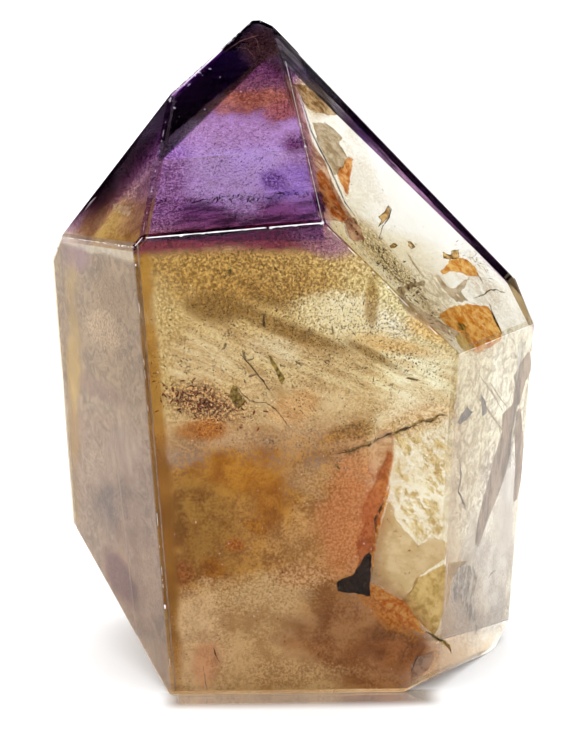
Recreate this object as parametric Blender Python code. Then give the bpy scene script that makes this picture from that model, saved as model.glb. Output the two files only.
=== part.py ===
"""A standing quartz point, ground and polished from one crystal.

The stone is one closed body.  A rough block is cut down by flat grinding
cuts, one per facet, and every sharp edge is then broken by a narrow polish.
Lengths are in metres, +Z is up, and the origin is at floor level in the
middle of the stone's bounding box.
"""

import math
from typing import NamedTuple

import bmesh
import bpy
from mathutils import Matrix, Vector

MM = 0.001

# The rough block that the stone is ground from.
ROUGH_SIDE = 130.0 * MM
ROUGH_HEIGHT = 120.0 * MM

# The narrow polish that breaks each edge.
EDGE_POLISH = 0.18 * MM
EDGE_POLISH_STEPS = 2
SHARP_ABOVE = math.radians(12.0)
WELD_DISTANCE = 0.005 * MM

# The look of the polished stone.
STONE_COLOUR = (0.62, 0.47, 0.30, 1.0)
STONE_ROUGHNESS = 0.06
STONE_METALLIC = 0.0
STONE_INDEX = 1.544
STONE_TRANSMISSION = 0.85


class Cut(NamedTuple):
    """One flat grinding cut.

    heading is the compass direction that the facet looks, in degrees round
    from +X.  lift is how far it looks above the horizon, in degrees.  reach
    is its distance in millimetres from the origin.
    """

    name: str
    heading: float
    lift: float
    reach: float


# The six walls, each narrowing a little towards the foot.
WALLS = (
    Cut("front wall", -90.0, -2.5, 17.3),
    Cut("left wall", -149.5, -4.5, 23.9),
    Cut("back left wall", 151.0, 0.0, 30.8),
    Cut("back wall", 90.0, -1.5, 18.1),
    Cut("back right wall", 20.0, -3.0, 30.7),
    Cut("right wall", -32.0, -3.0, 25.0),
)

# The six facets of the tip, and two narrow ones on its right shoulder.
TIP_FACETS = (
    Cut("front tip", -96.0, 51.0, 63.1),
    Cut("left tip", -152.0, 37.0, 60.2),
    Cut("back left tip", 159.0, 35.0, 59.5),
    Cut("back tip", 90.0, 42.5, 69.3),
    Cut("back right tip", 41.0, 35.5, 55.5),
    Cut("right tip", -32.0, 40.0, 51.7),
    Cut("right ridge", -27.5, 41.5, 53.6),
    Cut("right shoulder", -27.0, 38.5, 52.4),
)

# The flat foot, the long slanting cut under the left side, and two corners.
FOOT_CUTS = (
    Cut("foot", 0.0, -90.0, 0.0),
    Cut("left undercut", 179.0, -39.0, 13.9),
    Cut("front right toe", -43.0, -53.0, 13.3),
    Cut("right heel", -5.0, -35.5, 23.7),
)


def clear_scene() -> None:
    """Remove every object, so that only the stone is in the file."""
    for item in list(bpy.data.objects):
        bpy.data.objects.remove(item, do_unlink=True)


def facing(cut: Cut) -> Vector:
    """Return the direction that a cut's facet looks."""
    heading = math.radians(cut.heading)
    lift = math.radians(cut.lift)
    level = math.cos(lift)
    return Vector((level * math.cos(heading), level * math.sin(heading), math.sin(lift)))


def rough_block() -> bmesh.types.BMesh:
    """Return the uncut block, standing on the floor and sunk a little into it."""
    block = bmesh.new()
    size = Matrix.Diagonal((ROUGH_SIDE, ROUGH_SIDE, ROUGH_HEIGHT, 1.0))
    raised = Matrix.Translation((0.0, 0.0, ROUGH_HEIGHT * 0.45))
    bmesh.ops.create_cube(block, size=1.0, matrix=raised @ size)
    return block


def grind(block: bmesh.types.BMesh, cut: Cut) -> None:
    """Take off everything outside one cut and close the stone with its facet."""
    outward = facing(cut)
    everything = block.verts[:] + block.edges[:] + block.faces[:]
    result = bmesh.ops.bisect_plane(
        block,
        geom=everything,
        dist=WELD_DISTANCE * 0.1,
        plane_co=outward * cut.reach * MM,
        plane_no=outward,
        clear_outer=True,
    )
    rim = [part for part in result["geom_cut"] if isinstance(part, bmesh.types.BMEdge)]
    bmesh.ops.edgenet_fill(block, edges=rim)


def polish_edges(block: bmesh.types.BMesh) -> None:
    """Break every sharp edge with a narrow rounded polish."""
    bmesh.ops.recalc_face_normals(block, faces=block.faces[:])
    sharp = [edge for edge in block.edges if edge.calc_face_angle(0.0) > SHARP_ABOVE]
    bmesh.ops.bevel(
        block,
        geom=sharp,
        offset=EDGE_POLISH,
        offset_type="OFFSET",
        segments=EDGE_POLISH_STEPS,
        profile=0.5,
        affect="EDGES",
        clamp_overlap=True,
    )
    bmesh.ops.remove_doubles(block, verts=block.verts[:], dist=WELD_DISTANCE)
    bmesh.ops.triangulate(block, faces=block.faces[:])
    bmesh.ops.recalc_face_normals(block, faces=block.faces[:])


def quartz_material() -> bpy.types.Material:
    """Return the polished, half clear, golden brown stone."""
    material = bpy.data.materials.new("polished_quartz")
    material.use_nodes = True
    surface = material.node_tree.nodes["Principled BSDF"]
    surface.inputs["Base Color"].default_value = STONE_COLOUR
    surface.inputs["Roughness"].default_value = STONE_ROUGHNESS
    surface.inputs["Metallic"].default_value = STONE_METALLIC
    surface.inputs["IOR"].default_value = STONE_INDEX
    surface.inputs["Transmission Weight"].default_value = STONE_TRANSMISSION
    return material


def quartz_point() -> bpy.types.Object:
    """Grind the stone, polish its edges and give it its material."""
    block = rough_block()
    for cut in WALLS + TIP_FACETS + FOOT_CUTS:
        grind(block, cut)
    polish_edges(block)
    mesh = bpy.data.meshes.new("quartz_point")
    block.to_mesh(mesh)
    block.free()
    mesh.materials.append(quartz_material())
    stone = bpy.data.objects.new("quartz_point", mesh)
    bpy.context.scene.collection.objects.link(stone)
    return stone


clear_scene()
quartz_point()
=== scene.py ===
"""The look of a standing, polished quartz point with an amethyst tip.

The stone is clear glassy quartz, cut to flat facets.  Sealed inside it are
zones of purple, gold and brown, thin cloudy veils, iron-stained fractures,
and thousands of dark specks.  Blender works in metres, and MM turns the
stone's own millimetres into them.  Colours are in percent of red, green and
blue.  +Z is up, and the stone's front looks along -Y.
"""

import logging
import math
import random
from dataclasses import dataclass
from enum import Enum
from typing import Any, Callable, NamedTuple, Sequence

import bmesh
import bpy
from mathutils import Matrix, Vector, noise


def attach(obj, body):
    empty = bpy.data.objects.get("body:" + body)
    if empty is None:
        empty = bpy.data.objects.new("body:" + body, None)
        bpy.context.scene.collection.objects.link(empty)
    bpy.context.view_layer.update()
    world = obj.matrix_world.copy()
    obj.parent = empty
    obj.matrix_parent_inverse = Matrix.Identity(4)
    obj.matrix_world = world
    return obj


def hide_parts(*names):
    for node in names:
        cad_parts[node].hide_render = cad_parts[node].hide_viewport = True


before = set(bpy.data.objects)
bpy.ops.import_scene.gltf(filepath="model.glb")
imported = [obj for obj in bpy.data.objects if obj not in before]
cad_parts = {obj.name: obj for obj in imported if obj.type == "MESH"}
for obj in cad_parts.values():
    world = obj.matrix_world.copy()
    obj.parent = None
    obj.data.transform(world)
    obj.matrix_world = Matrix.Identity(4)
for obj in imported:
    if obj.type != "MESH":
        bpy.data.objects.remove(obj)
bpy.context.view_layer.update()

MM = 0.001
STONE_NODE = "quartz_point"
BODY = "root"
QUARTZ_INDEX = 1.544
NOISE_SEED = 7
LOG = logging.getLogger("quartz_point")

BLOCK_SIZE = 0.2
BLOCK_MIDDLE = (0.0, 0.0, 0.05)
CUT_WELD = 1e-7  # metres
SHARP_ABOVE = 12.0  # degrees
SAME_WAY = 0.9999  # cosine between two normals that count as one
ON_CUT = 0.02  # millimetres
THROUGH = 1e4  # half the depth of a patch, which reaches right through the stone
CRUMB_SEED = 5
CRUMB_REACH = (0.65, 1.15)  # how near and far its corners stand
WHITE = (100, 100, 100)
EVEN = (1.0, 1.0, 1.0)
MIX_COLOUR_IN = (6, 7)  # the Mix node's sockets for two colours
MIX_COLOUR_OUT = 2

Colour = tuple[float, float, float]
Spot = tuple[float, float, float]
Flat = tuple[float, float]
Outline = tuple[Flat, ...]
Part = bpy.types.Object
Socket = bpy.types.NodeSocket
Value = Socket | float


# ---------------------------------------------------------------- the cuts


class Cut(NamedTuple):
    """One flat cut.

    heading is the compass direction that it looks, in degrees round from +X.
    lift is how far it looks above the horizon, in degrees.  reach is its
    distance in millimetres from the origin, which is at the middle of the foot.
    """

    heading: float
    lift: float
    reach: float

    def normal(self) -> Vector:
        """Find the direction that the cut looks.

        Returns:
            The direction, of unit length.
        """
        level = math.cos(math.radians(self.lift))
        across = math.radians(self.heading)
        up = math.sin(math.radians(self.lift))
        return Vector((level * math.cos(across), level * math.sin(across), up))

    def moved(self, inward: float) -> "Cut":
        """Return the same cut, moved inward by some millimetres."""
        return Cut(self.heading, self.lift, self.reach - inward)

    def turned(self) -> "Cut":
        """Return the cut that keeps what this one takes away."""
        return Cut(self.heading + 180.0, -self.lift, -self.reach)

    def lifted(self, spot: Vector, depth: float) -> Vector:
        """Move a spot along y until it lies under the cut.

        Args:
            spot: the spot, in millimetres.
            depth: how far under the cut it has to lie, in millimetres.

        Returns:
            The moved spot.
        """
        outward = self.normal()
        level = self.reach - depth - outward.x * spot.x - outward.z * spot.z
        return Vector((spot.x, level / outward.y, spot.z))

    def holds(self, *spots: Vector) -> bool:
        """Return whether all these spots, in millimetres, lie on the cut."""
        return all(abs(self.normal().dot(spot) - self.reach) < ON_CUT for spot in spots)


FRONT_WALL = Cut(-90, -2.5, 17.3)
LEFT_WALL = Cut(-149.5, -4.5, 23.9)
BACK_LEFT_WALL = Cut(151, 0, 30.8)
BACK_WALL = Cut(90, -1.5, 18.1)
BACK_RIGHT_WALL = Cut(20, -3, 30.7)
RIGHT_WALL = Cut(-32, -3, 25)
FRONT_TIP = Cut(-96, 51, 63.1)
LEFT_TIP = Cut(-152, 37, 60.2)
BACK_LEFT_TIP = Cut(159, 35, 59.5)
BACK_TIP = Cut(90, 42.5, 69.3)
BACK_RIGHT_TIP = Cut(41, 35.5, 55.5)
RIGHT_TIP = Cut(-32, 40, 51.7)
RIGHT_RIDGE = Cut(-27.5, 41.5, 53.6)
RIGHT_SHOULDER = Cut(-27, 38.5, 52.4)
FOOT = Cut(0, -90, 0)
LEFT_UNDERCUT = Cut(179, -39, 13.9)
FRONT_RIGHT_TOE = Cut(-43, -53, 13.3)
RIGHT_HEEL = Cut(-5, -35.5, 23.7)

STONE_CUTS = (
    FRONT_WALL, LEFT_WALL, BACK_LEFT_WALL, BACK_WALL, BACK_RIGHT_WALL, RIGHT_WALL,
    FRONT_TIP, LEFT_TIP, BACK_LEFT_TIP, BACK_TIP, BACK_RIGHT_TIP, RIGHT_TIP,
    RIGHT_RIDGE, RIGHT_SHOULDER, FOOT, LEFT_UNDERCUT, FRONT_RIGHT_TOE, RIGHT_HEEL,
)


# --------------------------------------------------------------- workbench


def started(add: Callable[..., Any], name: str, **sizes: Any) -> Part:
    """Add a primitive, alone selected.

    Args:
        add: the operator that adds it.
        name: the piece's name.
        **sizes: what the operator is told.

    Returns:
        The new object.
    """
    bpy.ops.object.select_all(action="DESELECT")
    add(**sizes)
    part = bpy.context.object
    part.name = part.data.name = name
    return part


def cut_away(cut: Cut) -> None:
    """Take off everything outside a cut and close the open part with a facet.

    Args:
        cut: the cut to make.
    """
    outward = cut.normal()
    bpy.ops.mesh.select_all(action="SELECT")
    plane = {"plane_co": outward * cut.reach * MM, "plane_no": outward}
    bpy.ops.mesh.bisect(**plane, use_fill=True, clear_outer=True, threshold=CUT_WELD)


def cut_block(name: str, inward: float = 0.0) -> Part:
    """Cut a block down to the stone's shape.

    Args:
        name: the piece's name.
        inward: how far inside the stone's facets its own lie, in millimetres.

    Returns:
        The closed block, left in edit mode.
    """
    part = started(bpy.ops.mesh.primitive_cube_add, name, size=BLOCK_SIZE, location=BLOCK_MIDDLE)
    bpy.ops.object.transform_apply(location=True, rotation=True, scale=True)
    bpy.ops.object.mode_set(mode="EDIT")
    for cut in STONE_CUTS:
        cut_away(cut.moved(inward))
    return part


def close_part(part: Part, finish: bpy.types.Material) -> None:
    """End the editing of a closed part, turn its faces outward and dress it.

    Args:
        part: the part, in edit mode.
        finish: the material that it gets.
    """
    bpy.ops.mesh.select_all(action="SELECT")
    bpy.ops.mesh.normals_make_consistent(inside=False)
    bpy.ops.object.mode_set(mode="OBJECT")
    part.data.materials.append(finish)


def keep_facing(part: Part, outward: Vector) -> None:
    """Delete every face of a part that looks another way.

    Args:
        part: the part, in edit mode.
        outward: the direction that the faces to keep look.
    """
    mesh = bmesh.from_edit_mesh(part.data)
    bpy.ops.mesh.select_mode(type="FACE")
    bpy.ops.mesh.select_all(action="DESELECT")
    mesh.normal_update()
    for face in mesh.faces:
        face.select_set(face.normal.dot(outward) < SAME_WAY)
    bmesh.update_edit_mesh(part.data)
    bpy.ops.mesh.delete(type="FACE")


def is_sharp(edge: bmesh.types.BMEdge) -> bool:
    """Return whether two facets meet at an angle at this edge."""
    return edge.calc_face_angle(0.0) > math.radians(SHARP_ABOVE)


def thin_out(part: Part, thickness: float) -> None:
    """Give a sheet its small thickness.

    Args:
        part: the sheet.
        thickness: how thick it gets, in millimetres.
    """
    solid = part.modifiers.new("thickness", "SOLIDIFY")
    solid.thickness = thickness * MM
    solid.offset = 0.0
    bpy.ops.object.modifier_apply(modifier=solid.name)


# ------------------------------------------------------------- node recipes


class Recipe:
    """A material that is mixed node by node, in millimetres of the stone."""

    def __init__(self, name: str) -> None:
        """Start an empty material.

        Args:
            name: the material's name.
        """
        self.material = bpy.data.materials.new(name)
        self.material.use_nodes = True
        self.tree = self.material.node_tree
        self.tree.nodes.clear()
        self.out = self.add("ShaderNodeOutputMaterial")
        place = self.add("ShaderNodeTexCoord").outputs["Object"]
        self.mm = self.add("ShaderNodeMapping", {"Vector": place, "Scale": (1 / MM,) * 3}).outputs[0]

    def feed(self, socket: Socket, value: Any) -> None:
        """Link an input to a socket, or give it a plain value.

        Args:
            socket: the input.
            value: a socket, a number, a vector, or a colour in percent.
        """
        if isinstance(value, Socket):
            self.tree.links.new(value, socket)
        elif socket.type == "RGBA":
            socket.default_value = (*(part / 100 for part in value), 1.0)
        else:
            socket.default_value = value

    def add(self, kind: str, inputs: dict[Any, Any] | None = None, **settings: Any) -> bpy.types.Node:
        """Add a node.

        Args:
            kind: the node's type name.
            inputs: what to feed its inputs, by name or number.
            **settings: the node's own settings.

        Returns:
            The new node.
        """
        node = self.tree.nodes.new(kind)
        for name, value in settings.items():
            setattr(node, name, value)
        for name, value in (inputs or {}).items():
            self.feed(node.inputs[name], value)
        return node

    def sum(self, kind: str, *values: Value) -> Socket:
        """Return the result of a Math node of this kind."""
        return self.add("ShaderNodeMath", dict(enumerate(values)), operation=kind).outputs[0]

    def noise(
        self, scale: float, detail: float, rough: float = 0.5, *, stretch: Spot = EVEN,
        warp: float = 0.0, seed: float = 0.0, lean: float = 0.0,
    ) -> Socket:
        """Add cloudy noise.

        Args:
            scale: its cells to a millimetre.
            detail: how many finer layers it has.
            rough: how strong the finer layers are.
            stretch: how much closer its cells lie along x, y and z.
            warp: how far it is swirled.
            seed: how far it is moved, so that it differs from other noise.
            lean: degrees that it leans, as seen from the front.

        Returns:
            The noise, from 0 to 1.
        """
        where = self.mm
        if lean:
            turn = (0.0, -math.radians(lean), 0.0)
            where = self.add("ShaderNodeMapping", {"Vector": where, "Rotation": turn}).outputs[0]
        if seed or stretch != EVEN:
            inputs = {"Vector": where, "Scale": stretch, "Location": (seed,) * 3}
            where = self.add("ShaderNodeMapping", inputs).outputs[0]
        inputs = {"Vector": where, "Scale": scale, "Detail": detail, "Roughness": rough, "Distortion": warp}
        return self.add("ShaderNodeTexNoise", inputs).outputs[0]

    def step(
        self, value: Socket, low: float, high: float, to_low: float = 0.0, to_high: float = 1.0
    ) -> Socket:
        """Ease one range of numbers into another.

        Args:
            value: the number to ease.
            low: where the easing begins.
            high: where the easing ends.
            to_low: the result up to low.
            to_high: the result from high on.

        Returns:
            The eased number.
        """
        inputs = {"Value": value, "From Min": low, "From Max": high, "To Min": to_low, "To Max": to_high}
        return self.add("ShaderNodeMapRange", inputs, interpolation_type="SMOOTHSTEP").outputs[0]

    def blend(self, share: Value, first: Socket | Colour, second: Socket | Colour) -> Socket:
        """Return first mixed with a share of second, as colours."""
        inputs = {0: share, **dict(zip(MIX_COLOUR_IN, (first, second)))}
        return self.add("ShaderNodeMix", inputs, data_type="RGBA").outputs[MIX_COLOUR_OUT]

    def lerp(self, share: Value, first: Value, second: Value) -> Socket:
        """Return first mixed with a share of second, as numbers."""
        return self.add("ShaderNodeMix", {0: share, 2: first, 3: second}, data_type="FLOAT").outputs[0]

    def share_in(
        self, at: Flat, size: Flat, ragged: Socket, turn: float = 0.0, edge: float = 0.25,
        boxy: bool = False,
    ) -> Socket:
        """Tell the inside of a soft patch from its outside.

        Args:
            at: the x and z of its middle, in millimetres.
            size: its half width and half height, in millimetres.
            ragged: noise about 0 that breaks up its edge.
            turn: degrees that it leans, clockwise as seen from the front.
            edge: how soft its edge is, from 0 to 1.
            boxy: whether it is a box, or else an oval.

        Returns:
            1 inside the patch and 0 outside it.
        """
        place = {
            "Vector": self.mm,
            "Location": (at[0], 0.0, at[1]),
            "Rotation": (0.0, math.radians(turn), 0.0),
            "Scale": (size[0], THROUGH, size[1]),
        }
        inside = self.add("ShaderNodeMapping", place, vector_type="TEXTURE").outputs[0]
        if boxy:
            sides = self.add("ShaderNodeVectorMath", {0: inside}, operation="ABSOLUTE").outputs[0]
            parts = self.add("ShaderNodeSeparateXYZ", {0: sides}).outputs
            far = self.sum("MAXIMUM", parts[0], parts[2])
        else:
            far = self.add("ShaderNodeVectorMath", {0: inside}, operation="LENGTH").outputs["Value"]
        far = self.sum("MULTIPLY_ADD", ragged, edge * 2.0, far)
        return self.step(far, 1.0 - edge, 1.0 + edge, 1.0, 0.0)

    def solid(
        self, colour: Socket, rough: float, shine: float, cover: Value = 1.0,
        film: Socket | None = None, bump: Socket | None = None,
    ) -> bpy.types.Material:
        """Finish as a solid surface, or as a thin veil where cover is below 1.

        Args:
            colour: the colour of the solid matter.
            rough: its roughness.
            shine: its specular level.
            cover: the share of the surface that is solid matter.
            film: the colour that the rest of the surface lets through.
            bump: a normal, or None.

        Returns:
            The material.
        """
        inputs = {"Base Color": colour, "Roughness": rough, "Specular IOR Level": shine}
        if bump is not None:
            inputs["Normal"] = bump
        surface = self.add("ShaderNodeBsdfPrincipled", inputs).outputs[0]
        if film is not None:
            clear = self.add("ShaderNodeBsdfTransparent", {0: film}).outputs[0]
            surface = self.add("ShaderNodeMixShader", {0: cover, 1: clear, 2: surface}).outputs[0]
        self.feed(self.out.inputs["Surface"], surface)
        return self.material


@dataclass(frozen=True)
class Glass:
    """Clear matter that takes a colour out of the light that passes.

    density is how fast it does so, per metre.  mirror is its reflection in
    percent, and haze is how rough its polishing marks are.
    """

    name: str
    absorb: Colour
    density: float
    index: float = 1.0
    mirror: float = 100.0
    haze: float = 0.0

    def mixed(self) -> bpy.types.Material:
        """Mix the glass.

        Returns:
            The new material.
        """
        mix = Recipe(self.name)
        rough: Value = 0.0
        if self.haze:
            rough = mix.step(mix.noise(0.35, detail=4.0), 0.35, 0.75, 0.0, self.haze)
        surface = mix.add("ShaderNodeBsdfPrincipled", {
            "Base Color": WHITE,
            "Roughness": rough,
            "IOR": self.index,
            "Transmission Weight": 1.0,
            "Specular Tint": (self.mirror,) * 3,
        })
        volume = mix.add("ShaderNodeVolumeAbsorption", {"Color": self.absorb, "Density": self.density})
        mix.feed(mix.out.inputs["Surface"], surface.outputs[0])
        mix.feed(mix.out.inputs["Volume"], volume.outputs[0])
        return mix.material


# ---------------------------------------------------------------- the stone


@dataclass
class StoneShell:
    """The polished outside of the stone, which stands for the whole CAD stone."""

    finish: Glass = Glass("polished_quartz", (62, 60, 50), 24.0, QUARTZ_INDEX, 22.0, 0.03)
    edge_polish: float = 0.12
    polish_steps: int = 2
    polish_shape: float = 0.5

    def build(self) -> Part:
        """Cut the shell and soften its sharp edges.

        Returns:
            The shell, which is shown instead of the CAD node.
        """
        part = cut_block("polished_stone")
        mesh = bmesh.from_edit_mesh(part.data)
        bpy.ops.mesh.select_all(action="DESELECT")
        bpy.ops.mesh.select_mode(type="EDGE")
        for edge in mesh.edges:
            edge.select_set(is_sharp(edge))
        bmesh.update_edit_mesh(part.data)
        bpy.ops.mesh.bevel(
            offset=self.edge_polish * MM,
            segments=self.polish_steps,
            profile=self.polish_shape,
            affect="EDGES",
            clamp_overlap=True,
        )
        close_part(part, self.finish.mixed())
        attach(part, BODY)
        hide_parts(STONE_NODE)
        return part


@dataclass(frozen=True)
class Zone:
    """One colour zone sealed in the stone: its bounds and what it absorbs."""

    name: str
    cuts: tuple[Cut, ...]
    inward: float
    absorb: Colour
    density: float

    def build(self) -> Part:
        """Cut the zone out of the stone's shape.

        Returns:
            The zone as one closed body.
        """
        part = cut_block(self.name, self.inward)
        for cut in self.cuts:
            cut_away(cut)
        close_part(part, Glass(self.name, self.absorb, self.density).mixed())
        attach(part, BODY)
        return part


AMETHYST = (44, 13, 83)
DEEP_AMETHYST = (36, 5, 42)
GOLD = (76, 58, 5)
BROWN = (70, 42, 10)
STAIN_LINE = 9.6

ZONES = (
    Zone("amethyst_under_front_tip",
        (FRONT_TIP.moved(4.6).turned(), Cut(0, -90, -62.6), Cut(1.4, 9.4, 12.6)), 0.3, AMETHYST, 300),
    Zone("amethyst_under_back_left_tip", (BACK_LEFT_TIP.moved(6).turned(), Cut(0, -90, -61)), 0.42,
        DEEP_AMETHYST, 380),
    Zone("amethyst_under_back_tip", (BACK_TIP.moved(5).turned(),), 0.48, AMETHYST, 260),
    Zone("amethyst_under_back_right_tip", (BACK_RIGHT_TIP.moved(2.6).turned(),), 0.54, DEEP_AMETHYST, 440),
    Zone("golden_middle", (Cut(90, 73, 53.2), Cut(-10, 5, 15.5), Cut(0, -90, -33)), 0.6, GOLD, 15),
    Zone("brown_lower_left", (Cut(0, 90, 35), Cut(0, 0, STAIN_LINE)), 0.9, BROWN, 34),
    Zone("brown_under_stain", (Cut(0, 42.7, 17.5), Cut(180, 0, -STAIN_LINE - 0.05)), 0.9, BROWN, 46),
)


# ------------------------------------------------------------- thin veils


class Grain(Enum):
    """How the matter in a patch is spread.

    After its name stands where its noise eases from thin matter to thick.
    """

    FINE = ("fine", 0.38, 0.62)
    SOFT = ("soft", 0.30, 0.70)
    CLOUDY = ("cloudy", 0.40, 0.60)
    STREAKED = ("streaked", 0.38, 0.62)
    WISPY = ("wispy", 0.28, 0.72)
    FLOWING = ("flowing", 0.36, 0.64)


FINE, SOFT, CLOUDY, STREAKED, WISPY, FLOWING = Grain


class Patch(NamedTuple):
    """One patch of a veil, placed by x and z in millimetres.

    size holds its half width and half height.  turn is in degrees, clockwise
    as seen from the front.  light and dark are what the thin and the thick
    parts of its matter let through.  share is how strong it is, and milk is
    how much of it is cloudy rather than clear.
    """

    at: Flat
    size: Flat
    turn: float
    light: Colour
    dark: Colour
    grain: Grain = FINE
    share: float = 0.9
    milk: float = 0.15
    edge: float = 0.4
    boxy: bool = False


@dataclass(frozen=True)
class Pepper:
    """A crowd of tiny dark dots in an oval, placed by x and z in millimetres.

    darkness is how much light a dot takes, and largest is its greatest
    radius as a share of the way to the next dot.
    """

    at: Flat
    size: Flat
    seed: float
    per_mm: float = 2.9
    largest: float = 0.30
    darkness: float = 0.88

    def over(self, mix: Recipe, film: Socket, ragged: Socket) -> Socket:
        """Strew the dots over a film.

        Args:
            mix: the material that is being made.
            film: the film's colour.
            ragged: noise about 0 that breaks up the crowd's edge.

        Returns:
            The colour of the film with its dots.
        """
        dots = mix.add("ShaderNodeTexVoronoi", {"Vector": mix.mm, "Scale": self.per_mm})
        clouds = mix.noise(0.35, detail=4.0, rough=0.7, seed=self.seed)
        crowd = mix.step(clouds, 0.42, 0.62, 0.0, self.largest)
        rim = mix.sum("SUBTRACT", dots.outputs["Distance"], crowd)
        dot = mix.step(rim, -0.08, 0.04, 1.0, 0.0)
        shade = mix.sum("MULTIPLY", dot, mix.share_in(self.at, self.size, ragged))
        shade = mix.sum("MULTIPLY_ADD", shade, -self.darkness, 1.0)
        return mix.add("ShaderNodeVectorMath", {0: film, "Scale": shade}, operation="SCALE").outputs[0]


@dataclass
class Veil:
    """A sheet of cloudy matter, flat under one facet or across the stone.

    margin is how far inside the stone's other facets it ends.
    """

    name: str
    cut: Cut
    patches: tuple[Patch, ...]
    light: Colour = (100, 99, 95)
    dark: Colour = (88, 80, 66)
    milk: float = 0.10
    cloud_size: float = 7.0
    margin: float = 0.4
    seed: float = 0.0
    lean: float = 24.0
    pepper: Pepper | None = None

    def patterns(self, mix: Recipe, fine: Socket, soft: Socket) -> dict[Grain, Socket]:
        """Spread every grain that the veil's patches use.

        Args:
            mix: the material that is being made.
            fine: crisp noise.
            soft: smooth noise.

        Returns:
            For each grain, 0 where matter is thin and 1 where it is thick.
        """
        waves = {
            STREAKED: {"scale": 0.9, "rough": 0.68, "stretch": (0.20, 1.0, 1.0), "lean": self.lean},
            WISPY: {"scale": 0.40, "rough": 0.62, "stretch": (1.0, 1.0, 0.20)},
            FLOWING: {"scale": 0.55, "rough": 0.62, "stretch": (0.5, 1.0, 1.0), "warp": 1.4},
        }
        used = {patch.grain for patch in self.patches}
        spread = {FINE: fine, SOFT: soft}
        if CLOUDY in used:
            crisp = mix.sum("MULTIPLY", fine, 0.45)
            spread[CLOUDY] = mix.sum("ADD", crisp, mix.sum("MULTIPLY", soft, 0.55))
        for grain, wave in waves.items():
            if grain in used:
                spread[grain] = mix.noise(detail=5.0, seed=self.seed, **wave)
        return {grain: mix.step(cloud, *grain.value[1:]) for grain, cloud in spread.items()}

    def finish(self) -> bpy.types.Material:
        """Mix the veil's finish, patch over patch.

        Returns:
            The new material.
        """
        mix = Recipe(self.name)
        clouds = mix.noise(1.0 / self.cloud_size, detail=4.0, rough=0.6, seed=self.seed)
        fine = mix.noise(2.9, detail=2.5, rough=0.80, seed=self.seed + 3.0)
        soft = mix.noise(0.24, detail=6.0, rough=0.60, seed=self.seed + 6.0, warp=0.3)
        patterns = self.patterns(mix, fine, soft)
        ragged = mix.sum("MULTIPLY_ADD", clouds, 2.0, -1.6)
        ragged = mix.sum("ADD", ragged, mix.sum("MULTIPLY", fine, 1.2))
        mottling = mix.sum("MULTIPLY", patterns[FINE], mix.step(clouds, 0.40, 0.60))
        film = mix.blend(mottling, self.light, self.dark)
        milk = mix.step(clouds, 0.35, 0.65, self.milk * 0.5, self.milk)
        for patch in self.patches:
            share = mix.share_in(patch.at, patch.size, ragged, patch.turn, patch.edge, patch.boxy)
            share = mix.sum("MULTIPLY", share, patch.share)
            film = mix.blend(share, film, mix.blend(patterns[patch.grain], patch.light, patch.dark))
            milk = mix.lerp(share, milk, patch.milk)
        if self.pepper is not None:
            film = self.pepper.over(mix, film, ragged)
        return mix.solid(film, rough=0.7, shine=0.0, cover=milk, film=film)

    def build(self) -> Part:
        """Cut the veil and dress it.

        Returns:
            The veil, trimmed to the stone.
        """
        part = cut_block(self.name, self.margin)
        cut_away(self.cut)
        keep_facing(part, self.cut.normal())
        bpy.ops.object.mode_set(mode="OBJECT")
        part.data.materials.append(self.finish())
        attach(part, BODY)
        return part


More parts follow.
